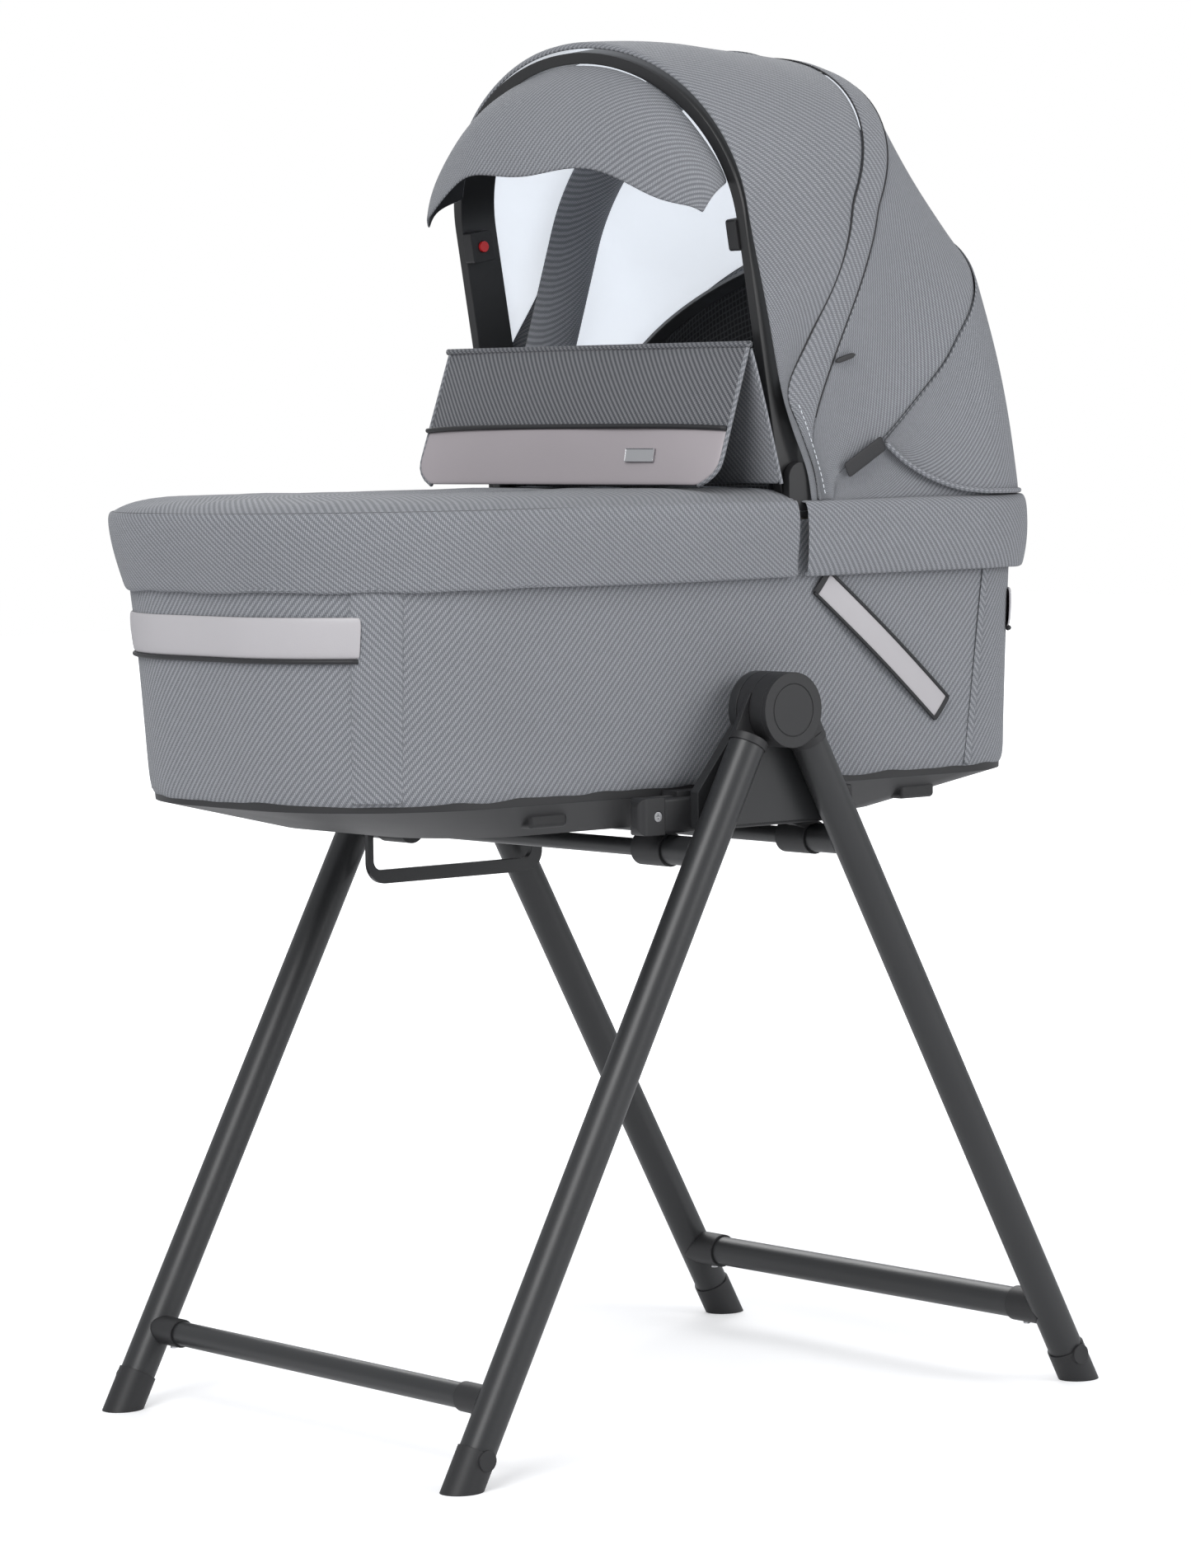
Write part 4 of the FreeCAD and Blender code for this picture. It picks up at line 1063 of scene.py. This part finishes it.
def screen_rows(start, stop, count, lift=0.0):
    return [[front_place(start + (stop - start) * i / count, -1 + 2 * j / 60, lift) for j in range(61)]
            for i in range(count + 1)]


def screen_shape(p):
    return noise.noise(Vector((p.x * 12, p.y * 9, p.z * 14))) * 0.0016


# The front twill and the ridge use the darker copy of the grey twill: painted shade on the windscreen's
# front.
front_twill = cloth("windscreen_twill", screen_rows(0.0, 0.62, 10), shaded_twill, shaded_twill, wall=0.0022,
                    inside=spot(0.02, 0, 0.21), shape=screen_shape)
front_leather = cloth("windscreen_leather", screen_rows(LEATHER_FROM, 1.0, 9, 0.0012), mauve_leather,
                      shaded_twill, wall=0.0024, inside=spot(0.02, 0, 0.21), shape=screen_shape)
line = [front_place(LEATHER_FROM, -1 + 2 * j / 60, 0.0024) for j in range(61)]
screen_piping = piping("windscreen_piping", line, 0.0023, black_piping)
screen_edges = []
for u, word in ((-1, "near"), (1, "far")):
    line = [front_place(v / 24, u, -0.001) for v in range(25)]
    screen_edges.append(piping("windscreen_%s_edge" % word, line, 0.0020, grey_twill))
ridge_line = [spot(RIDGE[0], SCREEN_HALF * u / 20, RIDGE[1]) for u in range(-20, 21)]
ridge_roll = piping("windscreen_ridge", ridge_line, 0.0030, shaded_twill, 10)
for piece in (front_twill, front_leather, screen_piping, ridge_roll, *screen_edges):
    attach(piece, "windscreen")
declare_sheet(screen_rows(0.0, 0.62, 10))
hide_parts("windscreen_front_panel")


def rear_place(v, u):
    x = RIDGE[0] + 0.003 + (REAR_FOOT[0] - RIDGE[0] - 0.003) * v ** 0.9
    z = RIDGE[1] - 0.004 + (REAR_FOOT[1] - RIDGE[1] + 0.004) * v
    return spot(x + 0.004 * math.sin(math.pi * v) * (1 - u * u), u * SCREEN_HALF * (0.985 + 0.035 * v), z)


rows = [[rear_place(i / 12, -1 + 2 * j / 60) for j in range(61)] for i in range(13)]
rear = cloth("windscreen_rear_cloth", rows, grey_twill, wall=0.0020, inside=spot(0.0, 0, 0.22),
             shape=screen_shape)
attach(rear, "carrycot")
declare_sheet(rows)
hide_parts("windscreen_rear_panel")
for u, word in ((-1, "near"), (1, "far")):
    line = [rear_place(v / 24, u) for v in range(25)]
    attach(piping("windscreen_rear_%s_edge" % word, line, 0.0019, grey_twill), "carrycot")

# %% [markdown]
# A small bare metal plate is riveted to the leather. It is a bevelled slab with an inset face.

# %% Plate
def plate_on_leather():
    mesh = bmesh.new()
    bmesh.ops.create_cube(mesh, size=1.0)
    bmesh.ops.scale(mesh, vec=(0.0385, 0.0120, 0.0022), verts=mesh.verts)
    top = [f for f in mesh.faces if f.normal.z > 0.9]
    bmesh.ops.inset_region(mesh, faces=top, thickness=0.0014, depth=0.0)
    bmesh.ops.translate(mesh, vec=(0, 0, -0.0006), verts=top[0].verts)
    rim = [e for e in mesh.edges if e.calc_length() > 0.0019]
    bmesh.ops.bevel(mesh, geom=rim, offset=0.0003, segments=2, profile=0.5, affect="EDGES", material=-1)
    bmesh.ops.recalc_face_normals(mesh, faces=mesh.faces[:])
    centre = front_place(0.80, -0.52, 0.0030)
    side = (front_place(0.80, -0.50) - front_place(0.80, -0.54)).normalized()
    down = (front_place(0.84, -0.52) - front_place(0.76, -0.52)).normalized()
    out = side.cross(down).normalized()
    if out.x > 0:
        out = -out
    turn = Matrix((side, out.cross(side), out)).transposed().to_4x4()
    bmesh.ops.transform(mesh, matrix=Matrix.Translation(centre) @ turn, verts=mesh.verts)
    piece = as_piece("bare_plate", mesh, (steel,), smooth=False)
    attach(piece, "windscreen")


plate_on_leather()

# %% [markdown]
# ## Inside the tub
# The walls are lined with white cloth, and a foam mattress in a white cover fills the floor. The
# mattress is blown up a little by a short cloth simulation, so its top is crowned and its edges
# are soft.

# %% Lining and mattress
LINING_IN = 0.0075
rows = [walk(tub(z), z, LINING_IN, 140) for z in (-0.030, 0.010, 0.060, 0.110, 0.150, 0.1655)]
OVER_THE_RIM = (0.1695, 0.0060), (0.1705, 0.0030), (0.1700, 0.0002)
rows += [walk(tub(0.165), z, inset, 140) for z, inset in OVER_THE_RIM]
lining = cloth("tub_lining", rows, white_lining, wall=0.0012, closed=True, inside=spot(0, 0, 0.06))
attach(lining, "carrycot")
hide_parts("liner")


def make_mattress():
    inset, low, high = 0.0125, -0.0385, 0.0020
    side = ((low, 0.006), (low + 0.004, 0.0), ((low + high) / 2, -0.0008), (high - 0.005, 0.0),
            (high, 0.007))
    rows = [walk(tub(z), z, inset + d, 160) for z, d in side]
    rows += [walk(tub(high), high + 0.0005, inset + d, 160) for d in (0.03, 0.08, 0.13, 0.1985)]
    mesh = grow([walk(tub(low), low, inset + d, 160) for d in (0.1985, 0.13, 0.06)] + rows, closed=True)
    bmesh.ops.remove_doubles(mesh, verts=mesh.verts[:], dist=0.002)
    bmesh.ops.holes_fill(mesh, edges=[e for e in mesh.edges if e.is_boundary], sides=0)
    bmesh.ops.recalc_face_normals(mesh, faces=mesh.faces[:])
    pad = as_piece("mattress_pad", mesh, smooth=False)
    remesh = pad.modifiers.new("even_faces", "REMESH")
    remesh.mode, remesh.voxel_size = "VOXEL", 0.0075
    settle(pad)
    rest = np.array([v.co for v in pad.data.vertices])
    inflate(pad, rest)
    pad.data.materials.clear()
    pad.data.materials.append(white_lining)
    for face in pad.data.polygons:
        face.use_smooth = True
    return pad


def inflate(pad, rest, most=0.006):
    scene = bpy.context.scene
    puff = pad.modifiers.new("puff", "CLOTH")
    puff.settings.use_pressure = True
    puff.settings.uniform_pressure_force = 4.0
    puff.settings.effector_weights.gravity = 0
    for step in range(1, 13):
        scene.frame_set(step)
    settle(pad)
    scene.frame_set(1)
    blown = np.array([v.co for v in pad.data.vertices])
    move = blown - rest
    size = np.linalg.norm(move, axis=1)[:, None]
    move *= np.minimum(1.0, most / np.maximum(size, 1e-9))
    pad.data.vertices.foreach_set("co", (rest + move).ravel())
    pad.data.update()


mattress = make_mattress()
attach(mattress, "carrycot")
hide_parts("mattress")
print("mattress", len(mattress.data.polygons), "faces")

# %% [markdown]
# ## The end
# The view layer is brought up to date.

# %% The end
bpy.context.view_layer.update()
